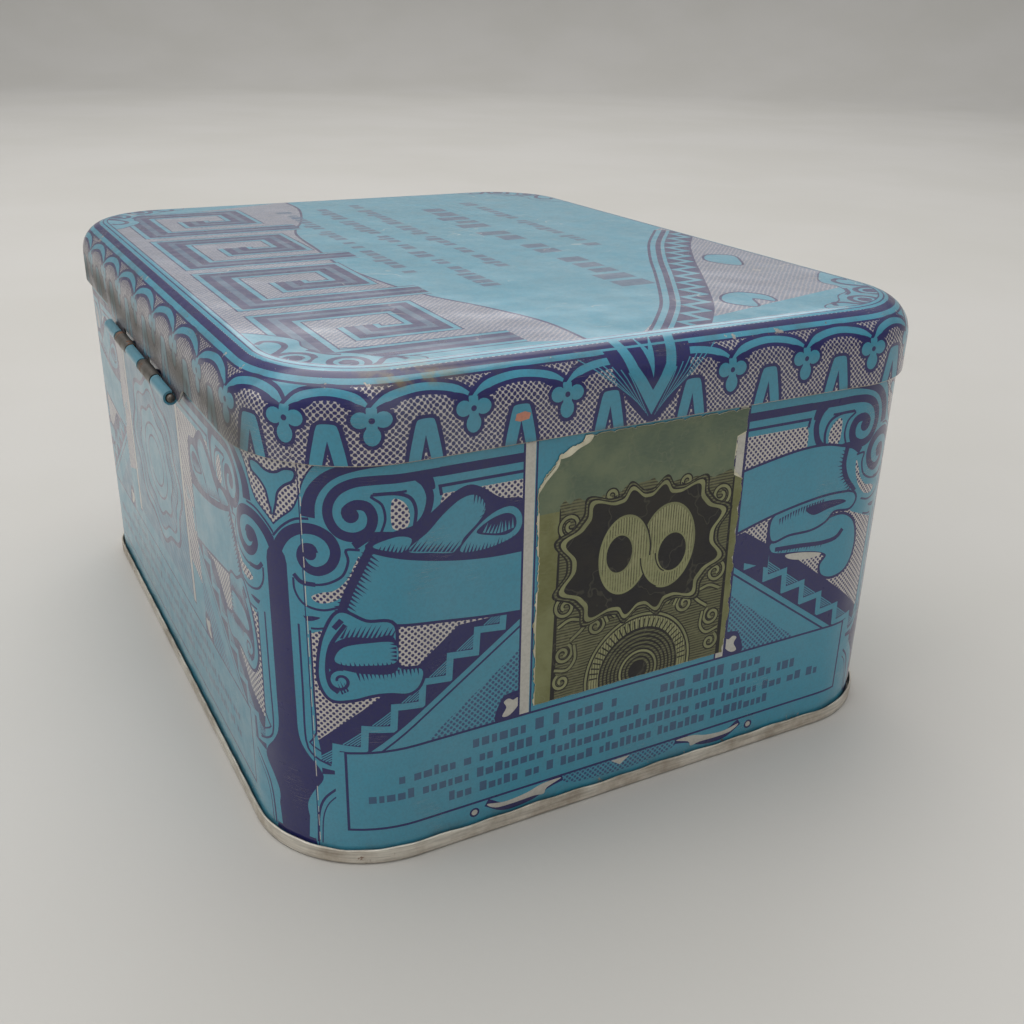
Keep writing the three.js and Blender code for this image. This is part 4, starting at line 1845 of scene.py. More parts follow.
def corner_ties(
    outline: Outline, low: float, high: float, first: float, per_corner: int = 18
) -> list[Array]:
    """Upright lines in the corners of a wall's artwork, so that the cut follows the bends.

    Args:
        outline: the body's plan.
        low: the lower end of the lines.
        high: their upper end.
        first: u of the sheet's near end.
        per_corner: spaces between the lines of a corner.

    Returns:
        The lines, by rising u.
    """
    stops = np.mod(outline.bends(per_corner) - first, outline.around) + first
    return [np.array([(u, low), (u, high)]) for u in np.sort(stops)]


@dataclass
class WallSheet:
    """The body's wall: one printed sheet wrapped round, hemmed at the top and locked inside."""

    sizes: Sizes
    seam: float = SEAM
    print_top: float = 56.6
    lock_half: float = 3.2
    slot_height: float = 0.9

    def art(self) -> Artwork:
        """The printed side: two ends and two long sides, parted by columns.

        Returns:
            The artwork.
        """
        art = Artwork(Ink.BLUE)
        around = self.sizes.outline.around
        half_end = END_MIDDLE - COLUMN
        half_side = around / 4 - half_end
        for turn in (0, 1):
            shift = turn * around / 2
            for direction in (1, -1):
                middle = END_MIDDLE + shift
                pen = Pen(art, self.place(middle - direction * half_end, direction))
                half_panel(pen, WINDOW, far=direction < 0)
                side_middle = middle + around / 4
                pen = Pen(art, self.place(side_middle - direction * half_side, direction))
                half_panel(pen, COLUMN + half_side + 0.05)
        for direction, axis in ((1, COLUMN + around), (-1, COLUMN)):
            beyond = Pen(art, carried(COLUMN, axis, direction))
            beyond.box(Ink.BLUE, COLUMN, -44, 0, PRINT_HIGH)
            corner_scrolls(beyond)
            column(beyond)
        for turn in (0, 1):
            shift = turn * around / 2
            end_middle(Pen(art, self.place(COLUMN + shift, 1)), at_seal=turn == 0)
            long_side = Pen(art, self.place(COLUMN + shift + END_MIDDLE + around / 4, 1))
            self.side_middle(long_side, half_side)
        pen = Pen(art)
        pen.box(Ink.NAVY, self.seam + 0.02, self.seam + 0.16, self.sizes.wall_foot + 1, self.print_top)
        rng = np.random.default_rng(3)
        z = 3.0
        while z < self.print_top - 2:
            left, run = self.seam + rng.uniform(0.18, 0.26), rng.uniform(0.6, 3.4)
            pen.box(Ink.PALE, left, left + rng.uniform(0.05, 0.13), z, min(z + run, self.print_top - 1))
            z += run + rng.uniform(0.2, 1.6)
        pen.box(Ink.PLAIN, self.seam - 3, self.seam + around + 3, self.print_top, self.sizes.wall_top + 3)
        return art

    def place(self, axis: float, direction: int) -> Callable[[Array], Array]:
        """Carries a motif so that its column stands on `axis`, running in a direction.

        Args:
            axis: u where the column stands.
            direction: 1 towards growing u, -1 back.

        Returns:
            The placing.
        """
        carry = carried(COLUMN, axis, direction)
        return lambda p: self.wrap(carry(p))

    def wrap(self, points: Array) -> Array:
        """Brings a motif that lies wholly past the sheet's far end back to its near end.

        Args:
            points: the motif's points.

        Returns:
            The same points, moved if need be.
        """
        around = self.sizes.outline.around
        end = self.seam + around
        return points - (around, 0) if points[:, 0].mean() > end else points

    def side_middle(self, pen: Pen, half: float) -> None:
        """The middle of a long side: a window with a blank medallion, and a panel of plain marks.

        Args:
            pen: draws it at its place.
            half: half the length of the side.
        """
        pen.box(Ink.STIPPLED, -20, 20, 20, 52)
        for left in (-20.4, 19.0):
            pen.box(Ink.PALE, left, left + 1.4, 19.6, 52.4)
            pen.line(Ink.NAVY, [
                (left, 19.6), (left + 1.4, 19.6), (left + 1.4, 52.4), (left, 52.4)
            ], 0.3, True)
        medallion(pen, 0, 36, 17, 13.5)
        pen.box(Ink.BLUE, -half + 8, half - 8, 3.0, 17.4)
        frame = np.array([(-half + 10, 5.3), (half - 10, 5.3), (half - 10, 17.3), (-half + 10, 17.3)])
        pen.line(Ink.NAVY, frame, 0.36, closed=True)
        for row, (reach, low) in enumerate(((30, 14.2), (42, 11.4), (42, 8.6))):
            marks(pen, Ink.FAINT, -reach, reach, low, 1.4, 40 + row)

    def grow_inside(self, flat: Array) -> Array:
        """How far the inner face lies from the wall's outside: thicker at the hem and the lock seam.

        Args:
            flat: flat points of the artwork.

        Returns:
            The distance for each point, negative inwards.
        """
        s = self.sizes
        u, z = flat[:, 0], flat[:, 1]
        hem = z > s.wall_top - s.hem_depth
        lock = (u < self.seam + self.lock_half + 0.01) | (
            u > self.seam + s.outline.around - self.lock_half - 0.01
        )
        return np.where(hem | lock, -s.hem_thickness, -SHEET)

    def build(self) -> bpy.types.Object:
        """Makes the wall.

        Returns:
            The wall as one object.
        """
        s = self.sizes
        outline, end = s.outline, self.seam + s.outline.around
        low, high = s.wall_foot + SHEET / 2, s.wall_top - s.hem_thickness / 2
        ties = corner_ties(outline, low, high, self.seam)
        corners, sides = [tie[0, 0] for tie in ties], np.arange(self.seam + 4, end - 4, 6)
        columns = np.unique(np.round(np.concatenate([[self.seam, end], corners, sides]), 4))
        top, foot = (np.column_stack([columns, np.full(len(columns), z)]) for z in (high, low))
        border = np.concatenate([foot, top[::-1]])
        slot_low = s.wire[1] - s.curl_inner - SHEET - s.slot_gap
        slots = []
        for start, stop in s.tabs:
            left, right = s.at_back(np.array([stop + s.slot_gap, start - s.slot_gap]))
            slot_high = slot_low + self.slot_height
            slots.append(np.array([
                (left, slot_low), (left, slot_high), (right, slot_high), (right, slot_low)
            ]))
        outer = self.art().cut([border, *slots], ties, outline.on_wall)
        hem = s.wall_top - s.hem_depth
        lines = [np.array([(self.seam, z), (end, z)]) for z in (hem, hem - 0.35)]
        lock_edges = [
            side * (self.lock_half + step) + foot_u
            for side, foot_u in ((1, self.seam), (-1, end))
            for step in (0, 0.35)
        ]
        locks = [np.array([(u, low), (u, high)]) for u in lock_edges]
        inner = Artwork(Ink.INSIDE).cut(
            [border, *slots],
            ties + lines + locks,
            lambda p: outline.on_wall(p, self.grow_inside(p + (0, 0.001))),
        )
        skins = [outer, inner.turned_inside_out()]
        for run, closed in [(foot, False), (top[::-1], False)] + [(slot, True) for slot in slots]:
            inside_run, outside_run = outline.on_wall(run, self.grow_inside(run))[0], outline.on_wall(run)[0]
            skins.append(rounded_edge(inside_run, outside_run, closed, Ink.PLAIN))
        return make_piece("printed_wall", skins)


@dataclass
class BottomPanel:
    """The bottom: a sunk panel, its edge folded up round the wall's foot as a bare rim."""

    sizes: Sizes
    groove: float = 0.3

    def build(self) -> bpy.types.Object:
        """Makes the bottom: the rim's section carried round the outline, and the panel's two faces.

        Returns:
            The bottom as one object.
        """
        s = self.sizes
        inner = -s.hem_thickness
        corners = [
            (inner - 0.6, s.panel_height),
            (inner, s.panel_height),
            (inner, 0.0),
            (s.rim_out, 0.0),
            (s.rim_out, s.rim_height),
            (self.groove, s.rim_height),
            (self.groove, s.rim_height - 0.5),
        ]
        outside = round_profile(corners, [0.25, 0.35, 0.5, 0.14, 0.12], 4)
        corners = [
            (-2 * self.groove, s.rim_height - 0.5),
            (-2 * self.groove, s.rim_height),
            (inner, s.rim_height),
            (inner, s.panel_height + SHEET),
            (inner - 0.6, s.panel_height + SHEET),
        ]
        upper = round_profile(corners, [0.12, 0.12, 0.2], 4)
        columns = s.outline.stops(SEAM, 1.5, 0.8)
        skins = []
        for profile, normals in (outside, upper):
            skin = s.outline.sweep(columns, profile, normals, Ink.PLAIN)
            wave = 0.10 * np.sin(skin.places[:, 0] * 0.23 + 1.0) * np.sin(skin.places[:, 1] * 0.31)
            dent = 0.09 * np.sin(skin.places[:, 0] * 1.1) * np.sin(skin.places[:, 1] * 0.9 + 2)
            lift = np.where(skin.places[:, 2] > s.rim_height - 0.6, wave + dent, 0.0)
            skins.append(Skin(
                skin.places + lift[:, None] * (0, 0, 1), skin.faces, skin.normals, skin.prints, skin.inks
            ))
        for height, up in ((s.panel_height, False), (s.panel_height + SHEET, True)):
            skins.append(self.face(columns, inner - 0.6, height, up))
        return make_piece("bottom_panel", skins, RIM_TIN)

    def face(self, columns: Array, grow: float, height: float, up: bool) -> Skin:
        """A flat face of the panel at a height, looking up or down.

        Args:
            columns: values of u round its edge.
            grow: how far its edge lies off the wall's outside.
            height: its height.
            up: whether it looks up.

        Returns:
            The face as a skin.
        """
        edge = self.sizes.outline.foot(columns[:-1], grow)[0]

        def level(flat: Array) -> tuple[Array, Array]:
            """Lays the face at its height, looking up."""
            zeros = np.zeros(len(flat))
            return np.column_stack([flat, zeros + height]), np.column_stack([zeros, zeros, zeros + 1])

        skin = Artwork(Ink.PLAIN).cut([edge], [], level)
        return skin if up else skin.turned_inside_out()


@dataclass
class LidShell:
    """The lid: one drawn and printed shell, its rear skirt deeper and curled round the wire.

    Its artwork is unrolled in plan: the flat top in the middle, and round it the rolled edge and the
    skirt, folded out.
    """

    sizes: Sizes

    @property
    def rolled(self) -> float:
        """The length of the rolled edge's arc."""
        return math.pi / 2 * self.sizes.edge_radius

    @property
    def columns(self) -> Array:
        """Values of u for a closed ring of artwork round the lid."""
        return self.sizes.outline.stops(SEAM, 2.5, 0.9)[:-1]

    @property
    def shoulder(self) -> float:
        """The height where the rolled edge turns into the straight skirt."""
        return self.sizes.lid_top - self.sizes.edge_radius

    def ring(self, past: float | Array, u: Array) -> Array:
        """Places on the unrolled lid, `past` outwards from the edge of its flat top."""
        return self.sizes.outline.foot(u, self.sizes.lid_out - self.sizes.edge_radius + past)[0]

    def flat(self, points: Array) -> Array:
        """Carries skirt artwork, written as u and height, onto the unrolled lid."""
        p = np.asarray(points, float)
        return self.ring(self.rolled + self.shoulder - p[:, 1], p[:, 0])

    def onto_sheet(self, flat: Array, inset: float) -> tuple[Array, Array, Array, Array]:
        """Rolls flat points over the lid's shape, moved inwards by `inset`.

        With d the distance past the flat top's edge and R the edge's radius, the sheet leans by d / R
        round the rolled edge, and hangs straight down from there.

        Args:
            flat: points of the unrolled lid.
            inset: how far inside the outer face.

        Returns:
            The places, the normals, the distance u round the skirt, and d.
        """
        s = self.sizes
        hub = np.array([s.length / 2 - s.corner, s.depth / 2 - s.corner])
        flat_radius = s.corner + s.lid_out - s.edge_radius
        q = np.abs(flat) - hub
        sign = np.where(flat < 0, -1.0, 1.0)
        beyond = np.maximum(q, 0)
        reach = np.linalg.norm(beyond, axis=1)
        d = reach + np.minimum(q.max(axis=1), 0) - flat_radius
        on_end = (q[:, :1] > q[:, 1:]).astype(float)
        straight = np.concatenate([on_end, 1 - on_end], axis=1)
        in_corner = (q > 0).all(axis=1)[:, None]
        out = np.where(in_corner, beyond / np.maximum(reach, 1e-9)[:, None], straight) * sign
        lean = np.clip(d / s.edge_radius, 0, math.pi / 2)
        foot = flat - out * np.maximum(d, 0)[:, None]
        side = out * (s.edge_radius * np.sin(lean))[:, None]
        drop = s.edge_radius * (1 - np.cos(lean)) + np.maximum(d - self.rolled, 0)
        normals = np.column_stack([out * np.sin(lean)[:, None], np.cos(lean)])
        places = np.column_stack([foot + side, s.lid_top - drop]) - normals * inset
        u = np.mod(s.outline.along(foot, out) - SEAM, s.outline.around) + SEAM
        return places, normals, u, d

    def laid(self, art: Artwork, border: Array, ties: list[Array], inset: float) -> Skin:
        """Cuts artwork and rolls it over the lid; the top is printed in plan, the rest by u and height.

        Args:
            art: the artwork of the unrolled lid.
            border: its outline.
            ties: open paths that must be triangle edges too.
            inset: how far inside the outer face.

        Returns:
            The laid skin.
        """
        skin = art.cut([border], ties, lambda p: self.onto_sheet(p, inset)[:2])
        around = self.sizes.outline.around
        u, d = (a.reshape(-1, 3) for a in self.onto_sheet(skin.prints.reshape(-1, 2), inset)[2:])
        u = u + around * np.round((np.median(u, axis=1, keepdims=True) - u) / around)
        past = (d.mean(axis=1) > 0)[:, None, None]
        unrolled = np.stack([u, self.shoulder + self.rolled - d], axis=-1)
        skin.prints = np.where(past, unrolled, skin.prints)
        return skin

    def edge_heights(self, u: Array) -> Array:
        """The height of the skirt's edge: level, dropping in a slant to each end of the hinge.

        Args:
            u: the distance round the tin.

        Returns:
            The height at each u.
        """
        s = self.sizes
        foot = s.outline.foot(u, s.lid_out)[0]
        start = s.wire_half + s.step_margin
        dropped = np.interp(np.abs(foot[:, 0]), [start, start + s.step_run], [
            s.wire[1] - s.skirt_below_wire, s.skirt_edge
        ])
        return np.where(foot[:, 1] > 0, dropped, s.skirt_edge)

    def border(self) -> Array:
        """The unrolled lid's outline: the skirt's edge, with its notches over the two tabs.

        Returns:
            The closed outline.
        """
        s = self.sizes
        start = s.wire_half + s.step_margin
        bends = s.at_back(np.array([-start - s.step_run, -start, start, start + s.step_run]))
        u = np.unique(np.concatenate([s.outline.stops(SEAM, 1.6, 0.9)[:-1], bends]))
        heights = self.edge_heights(u)
        clear = s.wire[1] + s.curl_inner + 2 * SHEET
        step = 0.5
        marks_u, marks_h = [], []
        spans = [(x0, x1, s.wire[1]) for x0, x1 in s.lid_curls] + [
            (x0 - step, x1 + step, clear) for x0, x1 in s.tabs
        ]
        for x0, x1, height in spans:
            ends = s.at_back(np.array([x1, x0]))
            keep = (u < ends[0] - 1e-3) | (u > ends[1] + 1e-3)
            u, heights = u[keep], heights[keep]
            marks_u += [ends[0] + 1e-3, ends[1] - 1e-3]
            marks_h += [height, height]
        u = np.concatenate([u, marks_u, [min(marks_u) - 2e-3, max(marks_u) + 2e-3]])
        heights = np.concatenate([heights, marks_h, [s.wire[1] - s.skirt_below_wire] * 2])
        order = np.argsort(u)
        return self.flat(np.column_stack([u[order], heights[order] + SHEET / 2]))

    def art(self) -> Artwork:
        """The lid's whole artwork.

        Returns:
            The artwork.
        """
        art = Artwork(Ink.SCATTERED)
        self.top_art(art)
        self.skirt_art(Pen(art, self.flat))
        return art

    def ring_band(self, pen: Pen, ink: Ink, inner: float, outer: float) -> None:
        """A band round the whole lid between two distances past the flat top's edge."""
        pen.area(ink, self.ring(outer, self.columns), self.ring(inner, self.columns))

    def top_art(self, art: Artwork) -> None:
        """The top: a plain field between two ornamented corners, inside ruled bands.

        Args:
            art: the artwork that it goes into.
        """
        pen = Pen(art)
        rim = self.ring(0.7, self.columns)
        pen.area(Ink.BLUE, rim)
        field = np.concatenate([curve([
            (-61, 9.5), (-50, 9.8), (-40, 13), (-30, 17.5), (-20, 20), (-5, 21.5), (8, 20.5), (24, 19),
            (36, 14), (50, 9.8), (61, 9.5),
        ], step=1.5), [(61, 60), (-61, 60)]])
        inside_rim = Pen(art, lambda p: clip_to(p, rim))
        inside_rim.area(Ink.NAVY, field + (0, -0.5))
        inside_rim.area(Ink.GREY_FIELD, field)
        self.frets(pen)
        corner = np.array([
            (-61, 1.2), (-55, -4.2), (-48, -10), (-40.5, -15), (-30, -21.5), (-20, -27.5), (-8, -35.5),
            (3, -44.5), (6, -60), (-61, -60),
        ])
        self.corner_field(inside_rim, pen, corner)
        for row, (start, end, y, height) in enumerate((
            (-15, 46, 12.2, 3.0), (-28, 48, 4.4, 3.0), (-16, 50, -3.4, 3.0), (-36, 40, -17.5, 6.0),
            (-6, 46, -27, 3.0),
        )):
            marks(pen, Ink.FAINT, start, end, y, height, 60 + row)
        for direction in (1, -1):
            for side in (1, -1):
                self.corner_volutes(Pen(art, lambda p, a=direction, b=side: np.asarray(p) * (a, b)))
        for ink, inner, outer in (
            (Ink.NAVY, 0.2, 0.4),
            (Ink.BLUE, 0.4, 1.7),
            (Ink.NAVY, 0.95, 1.15),
            (Ink.NAVY, 1.75, 2.9),
            (Ink.BLUE, 2.9, 3.75),
            (Ink.NAVY, 3.75, 4.05),
        ):
            self.ring_band(pen, ink, inner, outer)

    def frets(self, pen: Pen) -> None:
        """Large square spirals in a row along the back field, in navy with blue and pale edges.

        Args:
            pen: draws it at its place.
        """
        key = np.array([(0, 2), (0, 26), (20, 26), (20, 8.5), (8.5, 8.5), (8.5, 17.2), (12.5, 17.2)])
        for number in range(4):
            place = key + (-54.5 + 28.4 * number, 15.2)
            place[0] += (0, -1.0)
            for ink, width in ((Ink.NAVY, 6.0), (Ink.BLUE, 5.5), (Ink.NAVY, 3.9), (Ink.FAINT, 1.1)):
                pen.line(ink, place, width)

    def corner_field(self, clipped: Pen, pen: Pen, corner: Array) -> None:
        """The front corner: a ruled slanting edge, a zigzag band, and a stippled field with a leaf.

        Args:
            clipped: a pen that keeps within the top's rim.
            pen: a free pen.
            corner: the field's outline, its slanting edge first.
        """
        clipped.area(Ink.GREY_FIELD, corner)
        path = curve(corner[:8], step=1.5)
        side = offsets(path, False)
        for ink, away, width in (
            (Ink.NAVY, 0.0, 0.5), (Ink.BLUE, -0.7, 0.9), (Ink.NAVY, -1.6, 0.9), (Ink.BLUE, -2.4, 0.6),
            (Ink.NAVY, -4.9, 4.4),
        ):
            clipped.line(ink, path + side * away, width)
        reach = run_along(path)
        stops = np.arange(1.0, reach[-1], 2.4)
        at, out = sampled(stops, reach, path), sampled(stops, reach, side)
        zig = at - out * np.where(np.arange(len(stops)) % 2, 3.4, 6.4)[:, None]
        clipped.line(Ink.BLUE, zig, 1.0)
        clipped.line(Ink.NAVY, path - side * 7.2, 0.3)
        pen.cased_area(curve([
            (-54, -22), (-50.5, -19.5), (-47, -21.5), (-46, -25), (-49, -27.5), (-52.5, -26.5),
            (-50.0, -24.5),
        ], True), 0.4)
        pen.cased_area(curve([(-30, -38), (-25, -35.5), (-21, -38.5), (-23, -42), (-27, -40.5)], True), 0.4)

    def corner_volutes(self, pen: Pen) -> None:
        """The pair of scrolls in a corner of the top.

        Args:
            pen: draws it at its place.
        """
        plate = curve([
            (-60.2, 47.4), (-60.2, 33.0), (-59.0, 30.5), (-57.6, 31.6), (-56.4, 35.0), (-53.6, 37.6),
            (-52.0, 40.6), (-48.6, 42.0), (-45.6, 41.6), (-42.6, 43.6), (-40, 47.4), (-50, 47.6),
        ], True, 1.0)
        pen.line(Ink.NAVY, plate, 0.5, closed=True)
        pen.area(Ink.BLUE, plate)
        for cx, cy, start, turns in ((-53.3, 44.2, 150, -1.7), (-57.0, 39.6, 110, 1.7)):
            pen.area(Ink.BLUE, ellipse(cx, cy, 3.9, 3.9))
            volute(pen, cx, cy, 3.1, start, turns, 0.95)
        pen.stroke([
            (-56.0, 45.9), (-54.2, 47.2), (-51.6, 46.8), (-49.6, 45.0), (-47.6, 43.7), (-45.6, 43.9),
            (-44.6, 45.4), (-45.6, 46.6),
        ], 0.8)
        pen.stroke([
            (-59.4, 41.6), (-59.8, 38.6), (-58.8, 36.4), (-57.2, 35.0), (-57.0, 33.4), (-58.4, 32.6)
        ], 0.8)
        pen.stroke([(-50.2, 41.9), (-52.6, 40.4), (-53.6, 38.9)], 0.6)

    def skirt_art(self, pen: Pen) -> None:
        """The skirt: a scalloped vine with trefoils, tongues between them, and a pendant at each end.

        Args:
            pen: draws it at its place.
        """
        around = self.sizes.outline.around
        near = np.array([12.4, 24.9, 37.0, 46.6, 56.4])
        middle = np.linspace(near[-1], around / 2 - near[-1], 9)[1:-1]
        half_round = np.concatenate([[0], near, middle, around / 2 - near[::-1]])
        centre = -2.1
        stops = np.concatenate([half_round, around / 2 + half_round]) + centre
        for a, b in zip(stops, np.append(stops[1:], around + centre)):
            self.tongue(pen, (a + b) / 2)
            wide = (b - a) / 12.4
            vine = curve([
                (a, 62.4), (a + 0.6, 63.2), (a + 2.4 * wide, 64.4), ((a + b) / 2, 65.0),
                (b - 2.4 * wide, 64.4), (b - 0.6, 63.2), (b, 62.4),
            ])
            pen.cased(vine, 0.95, 0.52)
        for index, stop in enumerate(stops):
            motif = self.trefoil if index % len(half_round) else self.pendant
            motif(pen, stop)
        # One chip in the paint, down to its undercoat.
        pen.area(Ink.UNDERCOAT, [
            (-21.6, 59.4), (-20.9, 59.2), (-19.7, 59.4), (-19.5, 60.1), (-20.3, 60.4), (-21.4, 60.2)
        ])

    def trefoil(self, pen: Pen, u: float) -> None:
        """Three leaves under a cusp of the vine, with a navy eye.

        Args:
            pen: draws it at its place.
            u: where it hangs.
        """
        leaves = ((u - 1.25, 61.8, 1.0, 0.95), (u + 1.25, 61.8, 1.0, 0.95), (u, 59.9, 0.95, 1.15))
        lobes = [ellipse(*leaf, steps=16) for leaf in leaves]
        for lobe in lobes:
            pen.area(Ink.NAVY, (lobe - lobe.mean(axis=0)) * 1.45 + lobe.mean(axis=0))
        pen.box(Ink.BLUE, u - 0.6, u + 0.6, 60.6, 63.2)
        for lobe in lobes:
            pen.area(Ink.BLUE, lobe)
        pen.area(Ink.NAVY, ellipse(u, 61.7, 0.36, 0.36, steps=12))
        for side in (-1, 1):
            pen.shape(Ink.NAVY, [
                (u + side * 0.5, 63.1), (u + side * 2.4, 63.0), (u + side * 3.4, 63.9),
                (u + side * 1.6, 63.7),
            ], 0.8)

    def tongue(self, pen: Pen, u: float) -> None:
        """An upright split tongue between two trefoils.

        Args:
            pen: draws it at its place.
            u: where it stands.
        """
        outer = curve([
            (u - 2.3, 55.0), (u - 2.0, 57.2), (u - 1.5, 59.6), (u - 1.2, 60.8), (u - 0.8, 61.3),
            (u + 0.8, 61.3), (u + 1.2, 60.8), (u + 1.5, 59.6), (u + 2.0, 57.2), (u + 2.3, 55.0),
        ])
        pen.area(Ink.NAVY, [
            (u - 2.8, 55), (u - 2.3, 58.6), (u - 1.7, 61.2), (u - 0.9, 61.8), (u + 0.9, 61.8),
            (u + 1.7, 61.2), (u + 2.3, 58.6), (u + 2.8, 55),
        ])
        pen.area(Ink.BLUE, outer)
        pen.area(Ink.NAVY, [(u - 0.95, 55), (u, 59.4), (u + 0.95, 55)])
        pen.area(Ink.SCATTERED, [(u - 0.6, 55), (u, 57.8), (u + 0.6, 55)])

    def pendant(self, pen: Pen, u: float) -> None:
        """A pointed pendant hung from the top, with rays.

        Args:
            pen: draws it at its place.
            u: where it hangs.
        """
        pen.area(Ink.NAVY, [
            (u - 6.4, 66.4), (u - 5.6, 62.6), (u - 3.4, 59.2), (u - 1.2, 56.9), (u, 56.3),
            (u + 1.2, 56.9), (u + 3.4, 59.2), (u + 5.6, 62.6), (u + 6.4, 66.4),
        ])
        v = np.array([
            (u - 4.9, 68.4), (u - 3.4, 63.0), (u, 57.4), (u + 3.4, 63.0), (u + 4.9, 68.4),
            (u + 3.5, 68.4), (u + 2.1, 63.8), (u, 60.6), (u - 2.1, 63.8), (u - 3.5, 68.4),
        ])
        pen.area(Ink.BLUE, v)
        pen.area(Ink.BLUE, [(u - 1.3, 68.4), (u, 62.2), (u + 1.3, 68.4), (u, 65.8)])
        for side in (-1, 1):
            for k in range(6):
                reach = 1.0 + 0.16 * k
                pen.line(Ink.BLUE, [(u + side * (0.5 + 0.35 * k), 57.3 + 0.42 * k), (
                    u + side * (3.6 + 0.42 * k) * reach, 63.2 + 0.5 * k
                )], np.array([0.06, 0.16]))

    def curl(self) -> Array:
        """The curled edge in side view: down from the skirt, under the wire and up round it.

        Returns:
            Its closed outline, as (Y, Z).
        """
        s = self.sizes
        radius = s.curl_inner + SHEET / 2
        path = arc(*s.wire, radius, 180, 468, 40)
        return ribbon(path, SHEET)[0]

    def build(self) -> bpy.types.Object:
        """Makes the lid.

        Returns:
            The lid as one object.
        """
        s = self.sizes
        border = self.border()
        u = self.columns
        rings = [
            np.concatenate([self.ring(d, u), self.ring(d, u[:1])]) for d in np.linspace(0, self.rolled, 9)
        ]
        reach = np.array([0.0, self.rolled, self.rolled + self.shoulder - s.skirt_edge - 0.3])
        lines = [self.ring(reach, np.full(3, stop)) for stop in s.outline.bends(16)]
        outer = self.laid(self.art(), border, rings + lines, 0.0)
        inner = self.laid(Artwork(Ink.INSIDE), border, rings + lines, SHEET)
        runs = [self.onto_sheet(border, inset)[0] for inset in (SHEET, 0.0)]
        skins = [outer, inner.turned_inside_out(), rounded_edge(runs[0], runs[1], True, Ink.PLAIN)]
        for start, end in s.lid_curls:
            skins += bar_along_x(self.curl(), start, end, Ink.BLUE)
        return make_piece("printed_lid", skins)


def clip_to(points: Array, rim: Array) -> Array:
    """Pulls a convex rim's outside points onto it, along the line to the rim's middle.

    Args:
        points: any points.
        rim: the convex outline round the middle.

    Returns:
        The points, none of them past the rim.
    """
    p = np.asarray(points, float)
    angle = np.arctan2(rim[:, 1], rim[:, 0])
    order = np.argsort(angle)
    reach = np.linalg.norm(rim, axis=1)[order]
    turn = angle[order]
    limit = np.interp(np.arctan2(p[:, 1], p[:, 0]), turn, reach, period=2 * math.pi)
    length = np.linalg.norm(p, axis=1)
    return p * np.minimum(1, limit / np.maximum(length, 1e-9))[:, None]


@dataclass
class Hinge:
    """The wire and the two tabs that hook it to the wall."""

    sizes: Sizes

    def tab(self) -> Array:
        """A tab in side view: a leaf inside the wall, out through its slot and round the wire.

        Returns:
            Its closed outline, as (Y, Z).
        """
        s = self.sizes
        radius = s.curl_inner + SHEET / 2
        leaf_y = s.depth / 2 - SHEET - s.slot_gap - SHEET / 2
        low = s.wire[1] - radius
        bend = arc(leaf_y + 0.6, low - 0.6, 0.6, 180, 90, 6)
        path = np.concatenate([[(leaf_y, s.tab_foot)], bend, arc(*s.wire, radius, -90, 189, 40)])
        return ribbon(path, SHEET)[0]

    def build(self) -> list[bpy.types.Object]:
        """Makes the wire and both tabs.

        Returns:
            The wire, the left tab and the right tab.
        """
        s = self.sizes
        rod = rod_along_x(s.wire, s.wire_radius, s.wire_half, Ink.PLAIN)
        pieces = [make_piece("wire_rod", [rod], HINGE_STEEL)]
        for name, (start, end) in zip(("left", "right"), s.tabs):
            skins = bar_along_x(self.tab(), start, end, Ink.PLAIN)
            pieces.append(make_piece(f"curled_tab_{name}", skins, HINGE_STEEL))
        return pieces


